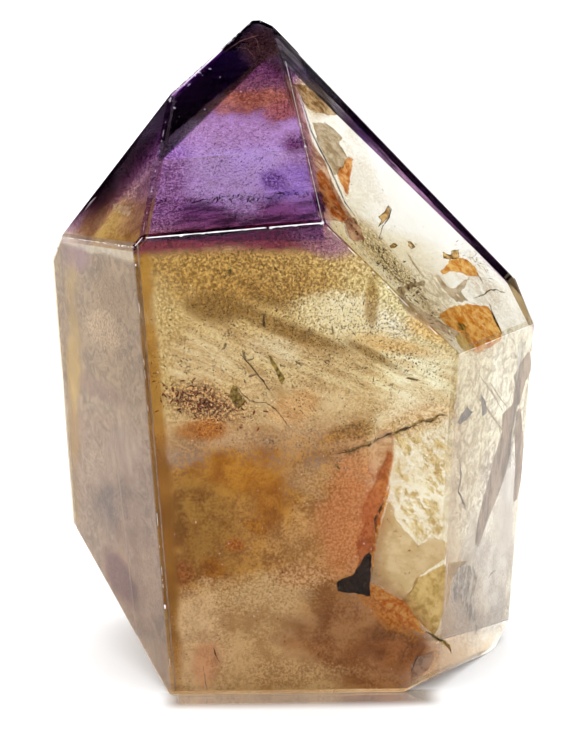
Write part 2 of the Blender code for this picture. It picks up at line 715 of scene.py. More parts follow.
FRONT_PATCHES = (
    # the golden, speckled middle
    Patch((-1, 49), (24, 15.5), 0, (93, 83, 58), (57, 43, 20), FINE, 0.9, 0.12, 0.2, True),
    Patch((-7.5, 58.6), (14.5, 4.4), 2, (72, 49, 16), (28, 14, 2.5), FINE, 0.94, 0.14),
    Patch((-3, 56), (4, 2), 10, (49, 31, 10), (23, 11, 3), CLOUDY, 0.7, 0.2),
    Patch((5, 58), (9, 4), 6, (80, 60, 27), (36, 20, 5), FINE, 0.88, 0.12),
    Patch((14, 53.2), (8.5, 5), 30, (95, 89, 59), (53, 39, 14), FINE, 0.85, 0.08),
    Patch((3.5, 54.2), (4.2, 1.8), 0, (100, 100, 84), (76, 62, 36), FINE, 0.8),
    Patch((-1, 46), (19, 4.6), 10, (95, 87, 68), (63, 44, 27), STREAKED, 0.75, 0.2),
    Patch((-13.5, 46.6), (4.6, 3), 10, (100, 95, 86), (80, 66, 46), STREAKED, 0.8, 0.22),
    Patch((-3.5, 48.3), (3.2, 1.6), 10, (100, 97, 90), (84, 70, 52), STREAKED, 0.8, 0.25),
    Patch((7.4, 51.4), (7, 3.4), 15, (100, 100, 100), (98, 90, 68), FINE, 0.96, 0.1),
    Patch((14.5, 45), (6, 4.4), 10, (100, 100, 84), (80, 66, 42), STREAKED, 0.85, 0.1),
    Patch((12.5, 48.6), (5.5, 1.2), 12, (95, 68, 31), (66, 37, 10), CLOUDY, 0.7, 0.12),
    Patch((17, 51), (3.6, 1.7), 20, (100, 76, 38), (72, 42, 14), FINE, 0.8, 0.1),
    # the olive smear
    Patch((-11.2, 54), (3.6, 1.9), 10, (44, 27, 8), (21, 11, 2), FINE, 0.9, 0.2),
    Patch((-5, 52.2), (6.2, 1.1), 24, (50, 33, 11), (26, 14, 3), FINE, 0.85, 0.2),
    Patch((1.2, 49.8), (5.2, 1.1), 20, (52, 35, 14), (30, 17, 5), FINE, 0.9, 0.25),
    Patch((9.4, 47.4), (4.4, 0.7), 30, (53, 35, 12), (27, 15, 3), FINE, 0.85, 0.2),
    Patch((9, 55), (0.8, 3.4), 0, (57, 37, 10), (25, 13, 3), FINE, 0.8),
    # the pink and rusty band
    Patch((-3, 38.6), (18.5, 5.2), 0, (98, 84, 63), (68, 48, 28), CLOUDY, 0.85, 0.28),
    Patch((-13.5, 41.2), (5.2, 2.4), 15, (92, 66, 44), (10, 1.5, 1), FINE, 0.98, 0.08, 0.5),
    Patch((-12.6, 37.8), (2.8, 1.3), 10, (96, 60, 28), (40, 11, 2), FINE, 0.8, 0.1),
    Patch((-13.6, 37.4), (3.2, 1.3), 0, (80, 46, 13), (53, 16, 2), FINE, 0.8, 0.1),
    Patch((-1, 40.6), (3.2, 1.8), -20, (95, 65, 39), (68, 37, 17), STREAKED, 0.6, 0.2),
    Patch((7.3, 37.2), (3.5, 1.3), -10, (63, 43, 17), (23, 11, 3), FINE, 0.85),
    # the brown, cloudy lower left
    Patch((-8.4, 15.8), (17.9, 18.8), 0, (73, 39, 6), (32, 12.5, 1.2), CLOUDY, 0.97, 0.78, 0.18, True),
    Patch((-7, 31), (5.8, 3), 6, (96, 56, 6), (54, 21, 0.6), CLOUDY, 0.86, 0.3, 0.6),
    Patch((-4, 27.4), (2.6, 3.4), 20, (74, 36, 4), (44, 16, 1), CLOUDY, 0.8, 0.4),
    Patch((-15, 22.4), (2.2, 2), 10, (60, 28, 8), (24, 6, 1), CLOUDY, 0.85, 0.4),
    Patch((-13.2, 19), (4.6, 2.8), 0, (54, 29, 6), (26, 11, 1.2), CLOUDY, 0.65, 0.6),
    Patch((-11.8, 18.2), (1.6, 1.3), 30, (70, 32, 3), (34, 11, 0.5), CLOUDY, 0.85, 0.4),
    Patch((-14, 25), (5.4, 5), 0, (52, 29, 5), (24, 10, 1), CLOUDY, 0.75, 0.7),
    Patch((2, 22), (5, 6), 10, (92, 58, 25), (50, 26, 8), CLOUDY, 0.6, 0.75),
    Patch((-5, 14.2), (6.5, 2.8), 0, (88, 67, 38), (54, 34, 14), FINE, 0.75, 0.85),
    Patch((-3, 6), (17, 7), 0, (80, 55, 28), (52, 30, 11.5), CLOUDY, 0.88, 0.88, 0.3, True),
    Patch((-14.5, 7), (4, 7), 0, (92, 66, 37), (60, 37, 18), CLOUDY, 0.75, 0.85),
    Patch((-13, 4.6), (1.6, 3.2), 10, (90, 50, 28), (56, 26, 12), CLOUDY, 0.7, 0.5),
    Patch((1.8, 30), (4.4, 2.2), 20, (98, 78, 44), (60, 36, 12), FINE, 0.75, 0.3),
    Patch((5, 29), (2.4, 1.2), 0, (88, 48, 16), (54, 20, 4), FINE, 0.7, 0.3),
    Patch((7.6, 33), (3.4, 2.6), 0, (100, 76, 48), (64, 38, 17), CLOUDY, 0.75, 0.3),
    Patch((8.6, 6.3), (9.8, 6.2), 38, (54, 26, 9), (28, 10, 2.6), CLOUDY, 0.9, 0.72, 0.22, True),
    Patch((13.2, 6.4), (4.4, 3.4), 38, (44, 19, 6), (18, 6, 1.2), CLOUDY, 0.85, 0.5, 0.35),
    # the clear, crackled right
    Patch((16, 31.5), (6.2, 8), 0, (100, 100, 100), (94, 86, 68), FLOWING, 0.92, 0.12, 0.15, True),
    Patch((15, 38.6), (5.4, 1.6), -18, (92, 74, 50), (60, 38, 18), FINE, 0.85, 0.2),
    Patch((6.4, 25), (4.4, 6.8), 12, (94, 46, 19), (62, 24, 7), FINE, 0.92, 0.6),
    Patch((5.8, 18.8), (3.2, 2.4), 0, (94, 48, 20), (60, 24, 7), FINE, 0.85, 0.6, 0.45),
    Patch((-9, 21.5), (1.2, 0.9), 0, (80, 34, 6), (34, 7, 1), FINE, 0.85, 0.6),
    Patch((-6.4, 24.2), (1.6, 0.8), 30, (84, 42, 5), (38, 12, 1), FINE, 0.85, 0.5),
    Patch((-16, 17.6), (1.2, 1.6), 0, (66, 28, 7), (22, 5, 1), FINE, 0.88, 0.45),
    Patch((11.4, 12.2), (5.4, 1.7), 40, (100, 52, 12), (60, 20, 2), FINE, 0.9, 0.3, 0.5),
    Patch((0.5, 17), (3.2, 1.6), 0, (96, 62, 30), (44, 19, 5), FINE, 0.8, 0.7),
    Patch((-1, 3), (8, 1.6), 0, (86, 56, 26), (40, 21, 7), FINE, 0.6, 0.8),
    # the amber strip and the purple fade
    Patch((-19, 34), (1.3, 31), -3.4, (64, 38, 8), (46, 24, 3), SOFT, 0.94, 0.25, 0.3),
    Patch((-8.6, 63.8), (13.8, 2.4), 0, (34, 4.5, 12), (6, 0.4, 2), FINE, 0.97, 0.05, 0.3, True),
    Patch((2.5, 62.6), (3.8, 1.8), 20, (50, 26, 38), (18, 6, 13), FINE, 0.75, 0.12),
)

TIP_PATCHES = (
    Patch((-8, 65), (14, 2.6), -2, (46, 20, 38), (7, 1.2, 5.5), STREAKED, 0.95, 0.08, 0.4, True),
    Patch((-18, 68.5), (3, 6.5), 20, (90, 64, 86), (26, 10, 23), FINE, 0.8, 0.12),
    # painted light: this pale, clear patch brightens the middle of the tip facet, where the light through
    # the stone is brightest
    Patch((-8.5, 70.3), (5.4, 3.6), 0, (100, 100, 100), (84, 74, 100), FINE, 0.8, 0.22, 0.5),
    Patch((-1, 69.5), (4, 2), -20, (72, 62, 100), (36, 22, 66), STREAKED, 0.6, 0.06),
    Patch((-0.4, 74), (1.9, 1.4), 0, (50, 22, 34), (7, 0.8, 4), FINE, 0.94, 0.06),
    Patch((-3.4, 69.6), (1.6, 1), 10, (70, 55, 90), (12, 3, 20), FINE, 0.8, 0.05),
    Patch((-7.6, 75.4), (8, 2.2), -4, (100, 84, 84), (76, 52, 60), FINE, 0.78, 0.25),
    Patch((-5, 81), (6, 4.2), 0, (46, 19, 10), (15, 4, 2.5), FINE, 0.92, 0.14),
    Patch((-8, 78.6), (6, 1.5), -8, (90, 46, 15), (42, 14, 3), CLOUDY, 0.85, 0.2),
    Patch((-2.6, 77.6), (2.4, 1), -10, (84, 40, 22), (38, 10, 5), FINE, 0.8, 0.2),
    # painted shade: a crisp, streaked dark purple band over the upper left of the tip facet, where the
    # stone shows a dark internal reflection
    Patch((-12.8, 81.1), (10.5, 2.25), -38, (72, 42, 66), (34, 15, 34), STREAKED, 0.98, 0.01, 0.08, True),
    Patch((-4.5, 86), (2.8, 2.8), 0, (66, 34, 24), (24, 9, 7), FINE, 0.9, 0.2),
)

LEFT_TIP_PATCHES = (
    Patch((-24, 63.6), (6.4, 3.6), -24, (78, 54, 20), (42, 22, 6), CLOUDY, 0.95, 0.3, 0.3),
    Patch((-21, 70.6), (2.4, 5.4), 35, (70, 46, 46), (14, 6, 8.5), FINE, 0.9, 0.08),
    Patch((-26.8, 67), (1.6, 3.6), 38, (44, 26, 24), (8, 2.5, 4), FINE, 0.9, 0.08),
    Patch((-26.6, 70.6), (2.4, 13), 38, (12, 6, 12), (3, 1.2, 3.5), SOFT, 0.98, 0.04, 0.22),
)

LEFT_PATCHES = (
    Patch((-26, 49), (12, 11), 0, (43, 28.5, 16), (26.5, 16.5, 8.5), CLOUDY, 0.96, 0.55, 0.04, True),
    Patch((-26, 20), (12, 20), 0, (58, 43, 32), (36, 25, 17.5), CLOUDY, 0.96, 0.62, 0.04, True),
    Patch((-26, 34), (12, 30), 0, (66, 50, 36), (26, 17.5, 11.5), FLOWING, 0.5, 0.5, 0.04, True),
    Patch((-29.6, 58.6), (2.2, 2), 0, (42, 25, 30), (26, 14, 20), SOFT, 0.7, 0.5),
    Patch((-25, 55), (3, 3), 0, (52, 36, 22), (32, 20, 11), FINE, 0.7, 0.55),
    Patch((-26.4, 49.5), (2.6, 2.4), 20, (86, 66, 46), (38, 26, 17), FINE, 0.8, 0.5),
    Patch((-28, 40.5), (5, 1.4), 0, (42, 26, 20), (25, 15, 11), CLOUDY, 0.7, 0.55),
    Patch((-27, 28.5), (2.4, 2.8), 0, (78, 62, 48), (46, 34, 24), FINE, 0.6, 0.55),
    Patch((-25, 24), (3.2, 4.4), 0, (38, 28, 24), (18, 13, 11.5), CLOUDY, 0.8, 0.5),
    Patch((-23.6, 33), (2.2, 3.4), 10, (78, 64, 52), (40, 31, 25), WISPY, 0.8, 0.5),
    Patch((-31.2, 38), (1, 16), 2, (72, 50, 16), (50, 33, 10), SOFT, 0.9, 0.3, 0.6),
    Patch((-22, 14), (3, 13), -6, (72, 50, 34), (44, 28, 17), CLOUDY, 0.55, 0.55),
    Patch((-24.6, 13.6), (2, 3.8), -35, (40, 20, 18), (15, 6, 7), FINE, 0.9, 0.3),
    Patch((-21, 4), (3, 3), 0, (66, 54, 42), (42, 32, 24), WISPY, 0.8, 0.5),
)

RIGHT_TIP_PATCHES = (
    Patch((12, 72), (6, 2.4), 47, (100, 100, 99), (70, 68, 66), FLOWING, 0.75, 0.1),
    Patch((-0.8, 81), (1.2, 3.6), 22, (76, 56, 52), (34, 19, 17), FINE, 0.92),
    Patch((1.8, 79.6), (3.2, 2.2), 42, (96, 78, 50), (30, 17, 6)),
    Patch((11, 69.2), (2.6, 1.6), 30, (100, 94, 82), (84, 66, 46), FINE, 0.6),
    Patch((13, 66), (9, 5), 45, (100, 100, 100), (98, 98, 97), CLOUDY, 0.9, 0.04),
    Patch((11, 59), (12, 1.2), 47, (92, 84, 66), (48, 36, 19), FINE, 0.9, 0.12),
    Patch((25.5, 52), (3.4, 2.6), 30, (100, 100, 98), (76, 68, 56), FLOWING, 0.8),
    Patch((17.5, 54), (4, 2), 40, (100, 98, 90), (64, 54, 40), FLOWING, 0.8),
)

# painted shade: these near-black patches darken the narrow ridge facet into the dark band along the right
# edge of the tip
RIDGE_SHADE_PATCHES = (
    Patch((2, 80.6), (5, 5.6), 40, (24, 22, 26), (6, 5.5, 7), STREAKED, 0.95, 0.22),
    Patch((10, 73), (3, 1), 45, (12, 5, 20), (4, 1.5, 6), STREAKED, 0.8, 0.05),
    Patch((20, 63.6), (13, 3), 45, (46, 25, 45), (12, 6, 13), STREAKED, 0.9, 0.05),
    Patch((-1.8, 85.2), (3.2, 1.9), 48, (58, 53, 56), (14, 12, 14), STREAKED, 0.92, 0.42, 0.3),
)

SHOULDER_PATCHES = (
    Patch((31.5, 50.5), (4, 4), 0, (62, 46, 24), (36, 25, 12), WISPY, 0.95, 0.3),
)

RIGHT_PATCHES = (
    Patch((26.5, 29), (4.5, 7), 10, (98, 92, 84), (40, 32, 25), FLOWING, 0.85, 0.25, 0.5),
    Patch((27, 40), (9, 9), 0, (96, 93, 80), (52, 44, 32), FLOWING, 0.85, 0.15, 0.2),
    Patch((22, 30), (3, 9), 0, (100, 97, 88), (62, 53, 40), FLOWING, 0.85, 0.2),
    Patch((26.5, 11), (5.8, 10), 0, (89, 82, 74), (51, 43, 37), CLOUDY, 0.9, 0.42),
    Patch((30, 22), (1.6, 7), 0, (94, 89, 86), (60, 53, 50), WISPY, 0.7, 0.35),
    Patch((22, 16), (1.6, 4), 10, (90, 84, 76), (50, 44, 38), FLOWING, 0.8, 0.35),
)

TOE_PATCHES = (
    Patch((24, 2), (14, 9), 0, (86, 86, 88), (62, 62, 66), FLOWING, 0.95, 0.25, 0.1, True),
    Patch((18.4, 4.6), (2.4, 5), 0, (72, 60, 46), (50, 38, 24), FINE, 0.9, 0.25),
)

BODY_PATCHES = (
    Patch((-24, 12), (33, 22), 0, (100, 93, 82), (82, 68, 50), CLOUDY, 0.8, 0.3, 0.2, True),
    Patch((-24, 50), (34, 10), 0, (100, 97, 88), (84, 72, 50), FINE, 0.6, 0.1),
    Patch((23, 68), (21, 19), 0, (100, 100, 100), (98, 98, 96), SOFT, 0.95, 0.02, 0.2, True),
)

# the near-black colours of the ridge veil, which paint the dark band along the ridge as shade
RIDGE_SHADE_LIGHT = (6, 3.5, 7)
RIDGE_SHADE_DARK = (2.2, 1.2, 2.8)

VEILS = (
    Veil("front_veil", FRONT_WALL.moved(0.8), FRONT_PATCHES, pepper=Pepper((0, 45.5), (22, 12), 12)),
    Veil("front_tip_veil", FRONT_TIP.moved(0.8), TIP_PATCHES, (100, 97, 100), (70, 56, 78), seed=11,
        lean=-10, pepper=Pepper((-9, 69), (12, 5), 23)),
    Veil("left_tip_veil", LEFT_TIP.moved(0.8), LEFT_TIP_PATCHES, (100, 90, 95), (60, 50, 60), seed=17),
    Veil("left_veil", LEFT_WALL.moved(0.7), LEFT_PATCHES, seed=23),
    Veil("right_tip_veil", RIGHT_TIP.moved(0.9), RIGHT_TIP_PATCHES, (100, 100, 100), (97, 97, 94), 0.03,
        seed=31),
    # painted shade: a near-black veil under the ridge facet
    Veil("right_ridge_shade_veil", RIGHT_RIDGE.moved(0.5), RIDGE_SHADE_PATCHES, RIDGE_SHADE_LIGHT, RIDGE_SHADE_DARK, 0.04, seed=33, lean=45,
        margin=0.48),
    Veil("right_shoulder_veil", RIGHT_SHOULDER.moved(0.5), SHOULDER_PATCHES, seed=35, margin=0.48),
    Veil("right_veil", RIGHT_WALL.moved(0.8), RIGHT_PATCHES, milk=0.12, seed=37),
    Veil("toe_veil", FRONT_RIGHT_TOE.moved(0.7), TOE_PATCHES, seed=39, margin=0.42),
    Veil("back_veil", BACK_WALL.moved(0.9), BODY_PATCHES, seed=41),
    Veil("back_left_veil", BACK_LEFT_WALL.moved(0.9), BODY_PATCHES, seed=43),
    Veil("back_right_veil", BACK_RIGHT_WALL.moved(0.9), BODY_PATCHES, seed=47),
    Veil("middle_veil", Cut(-90, 0, 9), BODY_PATCHES, seed=53),
)


# ----------------------------------------------------- solid inclusions


@dataclass(frozen=True)
class Matter:
    """The finish of something that is sealed in the stone.

    light and dark are its two colours, grain is the size of its mottling in
    millimetres, milk is 1 for solid matter and less for a film that lets
    light through, and holes is how much of it is worn away, from 0 to 1.
    soft is how far in from its outline a film fades out, and rim is how wide
    the dark line along its outline is, in millimetres.
    """

    name: str
    dark: Colour
    light: Colour
    grain: float = 0.8
    milk: float = 1.0
    holes: float = 0.0
    soft: float = 0.0
    rim: float = 0.0
    stretch: Spot = EVEN
    lean: float = 0.0
    rough: float = 0.6
    shine: float = 0.1

    def dress(self, part: Part) -> None:
        """Give a part this finish, mixing it the first time that it is used."""
        part.data.materials.append(bpy.data.materials.get(self.name) or self.mixed())

    def cloud(self, mix: Recipe, scale: float, rough: float, seed: float) -> Socket:
        """Return noise that follows the matter's grain, stretch and lean."""
        lie = {"stretch": self.stretch, "lean": self.lean}
        return mix.noise(scale / self.grain, detail=5.0, rough=rough, seed=seed, **lie)

    def mixed(self) -> bpy.types.Material:
        """Mix the matter.

        Returns:
            The new material.
        """
        mix = Recipe(self.name)
        cloud = self.cloud(mix, 0.8, rough=0.82, seed=2.0)
        colour = mix.blend(mix.step(cloud, 0.40, 0.60), self.dark, self.light)
        there: Value = 1.0
        if self.holes:
            gaps = self.cloud(mix, 0.7, rough=0.75, seed=8.0)
            there = mix.step(gaps, self.holes - 0.05, self.holes + 0.04)
        if self.soft or self.rim:
            wide = self.soft + self.rim
            inward = mix.add("ShaderNodeAttribute", attribute_name="rim").outputs["Fac"]
            inward = mix.sum("ADD", inward, mix.sum("MULTIPLY_ADD", cloud, 2.4 * wide, -1.7 * wide))
            if self.rim:
                colour = mix.blend(mix.step(inward, 0.0, self.rim, 0.9, 0.0), colour, BITUMEN)
            if self.soft:
                there = mix.sum("MULTIPLY", there, mix.step(inward, -0.1 * self.soft, self.soft))
        cover, film = self.milk, colour if self.milk < 1.0 else None
        if self.holes or self.soft:
            cover = mix.sum("MULTIPLY", there, self.milk)
            film = mix.blend(there, WHITE, colour)
        relief = {"Height": cloud, "Strength": 0.6, "Distance": 0.1 * MM}
        bump = mix.add("ShaderNodeBump", relief).outputs[0]
        return mix.solid(colour, self.rough, self.shine, cover, film, bump)


BITUMEN = (5, 3, 1.2)
SPECK = Matter("dark_speck", (1.5, 0.8, 0.4), (7, 3.5, 1.2), 0.4)
BLOOD = Matter("red_black_speck", (2, 0.4, 0.3), (30, 5, 2), 0.5)
RUSTY_SPECK = Matter("rusty_speck", (6, 1.5, 0.4), (40, 12, 2), 0.5)
GRAPE_SPECK = Matter("purple_speck", (2, 0.4, 2), (10, 2, 7), 0.4)
MOSS = Matter("olive_flake", (12, 7, 1), (62, 48, 12), 0.5, milk=0.5)
# white frosted matter: real chips, and also painted highlights along the edges and painted glints under the
# front wall
FROST_AND_HIGHLIGHT = Matter("frosted_wear_and_highlight", (75, 75, 78), (95, 95, 97), 0.3, rough=0.5)
OCHRE = Matter("orange_iron_film", (62, 20, 1), (100, 64, 22), 1.2, 0.3, soft=0.12, holes=0.34)
STAIN = Matter("salmon_iron_stain", (56, 18, 3), (86, 42, 15), 1, 0.36, soft=0.45)
BLUSH = Matter("pink_clay_film", (62, 34, 17), (98, 74, 50), 1.8, 0.35, soft=0.5)
RUST = Matter("rust_crust", (66, 18, 1), (100, 66, 17), 0.8, 0.45, soft=0.12, holes=0.34)
IRON = Matter("black_goethite", (0.5, 0.2, 0.1), (3.5, 1.6, 0.9), 1, rough=0.5, shine=0.02)
CRACK = Matter("dark_crack", (2, 1.2, 0.4), (16, 9, 3), 0.6, 0.8, holes=0.44)
RIM = Matter("olive_rim", (14, 9, 2), (62, 46, 18), 0.7, 0.45, holes=0.44, soft=0.2)
GLINT = Matter("bright_crack", (96, 96, 94), (100, 100, 100), 0.8, 0.35, holes=0.36)
CREST = Matter("crackled_film", (62, 46, 20), (94, 82, 54), 0.8, 0.15, holes=0.53, soft=0.5,
    stretch=(1, 1, 0.5), lean=-30)
SAND = Matter("clear_sandy_film", (72, 55, 31), (88, 73, 50), 3, 0.3, soft=0.12)
REED = Matter("yellow_olive_film", (54, 38, 12), (88, 68, 34), 1.6, 0.25, soft=0.15)
SMOKE = Matter("grey_tan_film", (42, 31, 18), (78, 66, 50), 2, 0.4, soft=0.12, holes=0.34)
PETAL = Matter("rosy_tan_film", (34, 16, 11), (86, 60, 46), 1.4, 0.25, soft=0.1, stretch=(1, 1, 0.4),
    lean=20)
EMBER = Matter("orange_stain_film", (56, 15, 2), (100, 58, 24), 1.2, 0.3, soft=0.22, stretch=(1, 1, 0.5),
    lean=20)
BRONZE = Matter("golden_brown_film", (24, 11, 2), (96, 66, 30), 1, 0.25, rim=0.09, holes=0.34)
VEINED = Matter("wavy_grey_film", (40, 33, 26), (96, 90, 82), 1, 0.4, soft=0.15, stretch=(1, 1, 0.5))
CLAY = Matter("pinkish_grey_film", (44, 30, 20), (74, 56, 42), 2, 0.45, soft=0.25)
STRAP = Matter("rosy_grey_strip", (34, 25, 19), (66, 53, 43), 2, 0.45, soft=0.1, stretch=(1, 1, 0.3))
COAL = Matter("grey_flake", (14, 12, 11), (40, 35, 33), 1, 0.5, soft=0.1)
PEARL = Matter("pale_bubble", (20, 16, 20), (85, 82, 88), 0.3)
GRAPE = Matter("purple_film", (6, 1.5, 7), (50, 24, 46), 0.9, 0.15, soft=0.3)
HAIR = Matter("rosy_hairline", (22, 8, 5), (50, 28, 22), 0.5, 0.5, holes=0.4)
THREAD = Matter("pale_tan_thread", (42, 33, 24), (76, 66, 52), 0.6, 0.35, holes=0.4)
TAWNY = Matter("tawny_film", (26, 15, 6), (84, 66, 44), 1.1, 0.25, soft=0.12, holes=0.34)
LEMON = Matter("pale_gold_crust", (78, 50, 20), (100, 94, 66), 0.7, 0.5, soft=0.3, holes=0.4)


def inside_stone(point: Vector, margin: float) -> bool:
    """Return whether a point in millimetres lies well inside the stone."""
    return all(cut.normal().dot(point) < cut.reach - margin for cut in STONE_CUTS)


def crumb() -> tuple[list[Vector], list[tuple[int, ...]]]:
    """Shape one small rough crumb of unit size.

    Returns:
        Its corners, and its faces as numbers of corners.
    """
    seed = started(bpy.ops.mesh.primitive_ico_sphere_add, "crumb", subdivisions=1, radius=0.5)
    corners = [corner.co.copy() for corner in seed.data.vertices]
    faces = [tuple(face.vertices) for face in seed.data.polygons]
    bpy.data.objects.remove(seed, do_unlink=True)
    draw = random.Random(CRUMB_SEED)
    return [corner * draw.uniform(*CRUMB_REACH) for corner in corners], faces


def crumbs(name: str, places: Sequence[Matrix], matter: Matter) -> Part:
    """Strew copies of the crumb.

    Args:
        name: the piece's name.
        places: where each copy lies, and how it is turned and stretched.
        matter: what they are made of.

    Returns:
        One piece that holds them all.
    """
    corners, faces = crumb()
    all_corners: list[Vector] = []
    all_faces: list[tuple[int, ...]] = []
    for place in places:
        first = len(all_corners)
        all_corners += [place @ corner for corner in corners]
        all_faces += [tuple(first + i for i in face) for face in faces]
    mesh = bpy.data.meshes.new(name)
    mesh.from_pydata(all_corners, [], all_faces)
    part = bpy.data.objects.new(name, mesh)
    bpy.context.collection.objects.link(part)
    matter.dress(part)
    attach(part, BODY)
    return part


def placed(spot: Vector, size: Spot, *turns: Matrix) -> Matrix:
    """Place a crumb.

    Args:
        spot: where it lies, in millimetres.
        size: its length, width and height, in millimetres.
        *turns: how it is turned, the last one first.

    Returns:
        The matrix that takes the unit crumb to its place in metres.
    """
    place = Matrix.Scale(MM, 4) @ Matrix.Translation(spot)
    for turn in turns:
        place = place @ turn
    return place @ Matrix.Diagonal((*size, 1.0))


@dataclass
class Cluster:
    """Many small crumbs, spread in a leaning ellipsoid, in millimetres.

    They lie close under one facet where under names its cut.  small and
    large bound their size, long is how much longer than wide they may be,
    flat is their thickness as a share of their size, and tipped is how far
    they lean out of the facet, in radians.
    """

    name: str
    at: Spot
    size: Spot
    turn: float
    count: int
    small: float
    large: float
    matter: Matter
    long: float = 2.0
    seed: int = 1
    under: Cut | None = None
    depths: Flat = (0.2, 0.6)
    margin: float = 0.15
    flat: float = 0.6
    tipped: float = 0.6

    def places(self) -> list[Matrix]:
        """Draw where the crumbs lie.

        Returns:
            The place of each crumb, all inside the stone.
        """
        draw = random.Random(self.seed)
        lean = Matrix.Rotation(math.radians(self.turn), 3, "Y")
        found: list[Matrix] = []
        while len(found) < self.count:
            way = Vector([draw.gauss(0.0, 0.5) * side for side in self.size])
            spot = Vector(self.at) + lean @ way
            if self.under is not None:
                spot = self.under.lifted(spot, draw.uniform(*self.depths))
            if not inside_stone(spot, self.margin):
                continue
            span = self.small + (self.large - self.small) * draw.random() ** 3
            size = (span * draw.uniform(1.0, self.long), span, span * self.flat)
            turn = Matrix.Rotation(draw.uniform(0.0, math.tau), 4, "Y")
            tip = Matrix.Rotation(draw.uniform(-self.tipped, self.tipped), 4, "X")
            found.append(placed(spot, size, turn, tip))
        return found

    def build(self) -> Part:
        """Return the cluster as one piece."""
        return crumbs(self.name, self.places(), self.matter)


CLUSTERS = (
    Cluster("golden_specks", (-1, -14, 50), (22, 6, 13), 0, 2600, 0.07, 0.24, SPECK, 1.6, 3),
    Cluster("front_specks", (2, 0, 50), (20, 0, 10), 18, 2600, 0.06, 0.2, SPECK, 1.5, 4, FRONT_WALL),
    Cluster("right_specks", (10, 0, 51), (13, 0, 4.5), 30, 900, 0.06, 0.2, SPECK, 1.6, 14, FRONT_WALL),
    Cluster("edge_band_specks", (12.3, 0, 57.8), (9, 0, 1.2), 47, 520, 0.09, 0.34, SPECK, 3.4, 5,
        RIGHT_TIP),
    Cluster("fine_lattice", (25.4, 0, 56.5), (3.6, 0, 1.5), 36, 150, 0.07, 0.2, SPECK, 6, 15, RIGHT_TIP),
    Cluster("deep_specks", (-4, 2, 44), (28, 20, 26), 0, 700, 0.08, 0.26, SPECK, seed=6),
    Cluster("low_specks", (-4, 0, 18), (22, 0, 20), 0, 900, 0.06, 0.24, RUSTY_SPECK, 1.6, 7, FRONT_WALL),
    Cluster("tip_specks", (-8, -8, 71), (12, 12, 12), 0, 1100, 0.08, 0.22, GRAPE_SPECK, seed=8),
    Cluster("tip_grains", (-8, 0, 71), (13, 0, 12), 0, 900, 0.05, 0.2, GRAPE_SPECK, 1.5, 16, FRONT_TIP),
    Cluster("tip_dashes", (-9.5, -14.6, 67.2), (12, 1, 0.7), -2, 260, 0.08, 0.4, GRAPE_SPECK, 3.5, 9),
    Cluster("tip_bubbles", (-8, 0, 74), (9, 0, 8), 0, 34, 0.12, 0.28, PEARL, 1.2, 17, FRONT_TIP),
    Cluster("tip_chips", (-14.2, 0, 82), (4.2, 0, 0.9), -40, 22, 0.08, 0.38, FROST_AND_HIGHLIGHT, 2, 18, FRONT_TIP),
    # painted glints: small white crumbs under the front wall that stand for bright glints
    Cluster("front_painted_glints", (-2, 0, 30), (24, 0, 32), 0, 150, 0.06, 0.18, FROST_AND_HIGHLIGHT, 2, 19, FRONT_WALL),
    Cluster("dendrites", (-13, 0, 41.2), (7, 0, 2.8), 18, 420, 0.1, 0.46, BLOOD, 2, 10, FRONT_WALL),
    Cluster("olive_flakes", (0, -17.5, 44), (16, 2, 10), 30, 50, 0.15, 0.8, MOSS, 3, 12),
)


@dataclass
class Fracture:
    """A thin healed crack that runs from the front into the stone.

    trace holds the x and z, in millimetres, of its line at the front.  front
    and depth say where it starts and how far back it goes, and drift is how
    far it leans in x and z on the way.  ripple is how far it is bent, by
    waves and finer waves, and ragged is how uneven its inner border is.
    """

    name: str
    trace: Outline
    front: float
    depth: float
    drift: Flat
    matter: Matter
    ripple: float = 0.35
    along: int = 40
    across: int = 14
    thickness: float = 0.05
    waves: float = 0.45
    fine_waves: float = 1.7
    fine_share: float = 0.3
    ragged: float = 0.35

    def at(self, share: float, back: float) -> Vector:
        """Find a place on the crack.

        Args:
            share: how far along the trace it is, from 0 to 1.
            back: how far into the stone it is, from 0 to 1.

        Returns:
            The place, in millimetres.
        """
        steps = len(self.trace) - 1
        step = min(int(share * steps), steps - 1)
        part = share * steps - step
        (x0, z0), (x1, z1) = self.trace[step], self.trace[step + 1]
        reach = back * self.depth
        spot = Vector((x0 + (x1 - x0) * part, self.front + reach, z0 + (z1 - z0) * part))
        spot += Vector((self.drift[0], 0.0, self.drift[1])) * reach
        bend = noise.noise_vector(spot * self.waves) * self.ripple
        bend += noise.noise_vector(spot * self.fine_waves) * self.ripple * self.fine_share
        return spot + bend

    def build(self) -> Part:
        """Bend a grid along the crack and dress it.

        Returns:
            The crack as a thin closed sheet.
        """
        cells = {"x_subdivisions": self.along, "y_subdivisions": self.across}
        part = started(bpy.ops.mesh.primitive_grid_add, self.name, size=2.0, **cells)
        for corner in part.data.vertices:
            share, back = (corner.co.x + 1.0) / 2.0, (corner.co.y + 1.0) / 2.0
            border = 1.0 + self.ragged * noise.noise((share * 9.0, self.front, 3.0))
            corner.co = self.at(min(share, 1.0), back * border) * MM
        thin_out(part, self.thickness)
        self.matter.dress(part)
        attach(part, BODY)
        return part


FRACTURES = (
    Fracture("salmon_fracture", (
        (11.2, 33), (10, 28), (9.4, 23.3), (9.5, 16)), -16.2, 9, (-0.1, 0), STAIN, 0.4, 30, 8),
    Fracture("low_orange_fracture", (
        (9.6, 14.9), (12.5, 13.2), (14.3, 11.2), (16.8, 8.7)), -15.8, 8, (0.1, 0.1), OCHRE, 0.4, 30, 8),
    Fracture("right_slit", (
        (31.2, 45.5), (30.9, 41.3), (29.6, 34), (28.8, 27)), -1, 3, (0.2, 0), GLINT, 0.15),
)


# ------------------------------------------------------------- drawn films


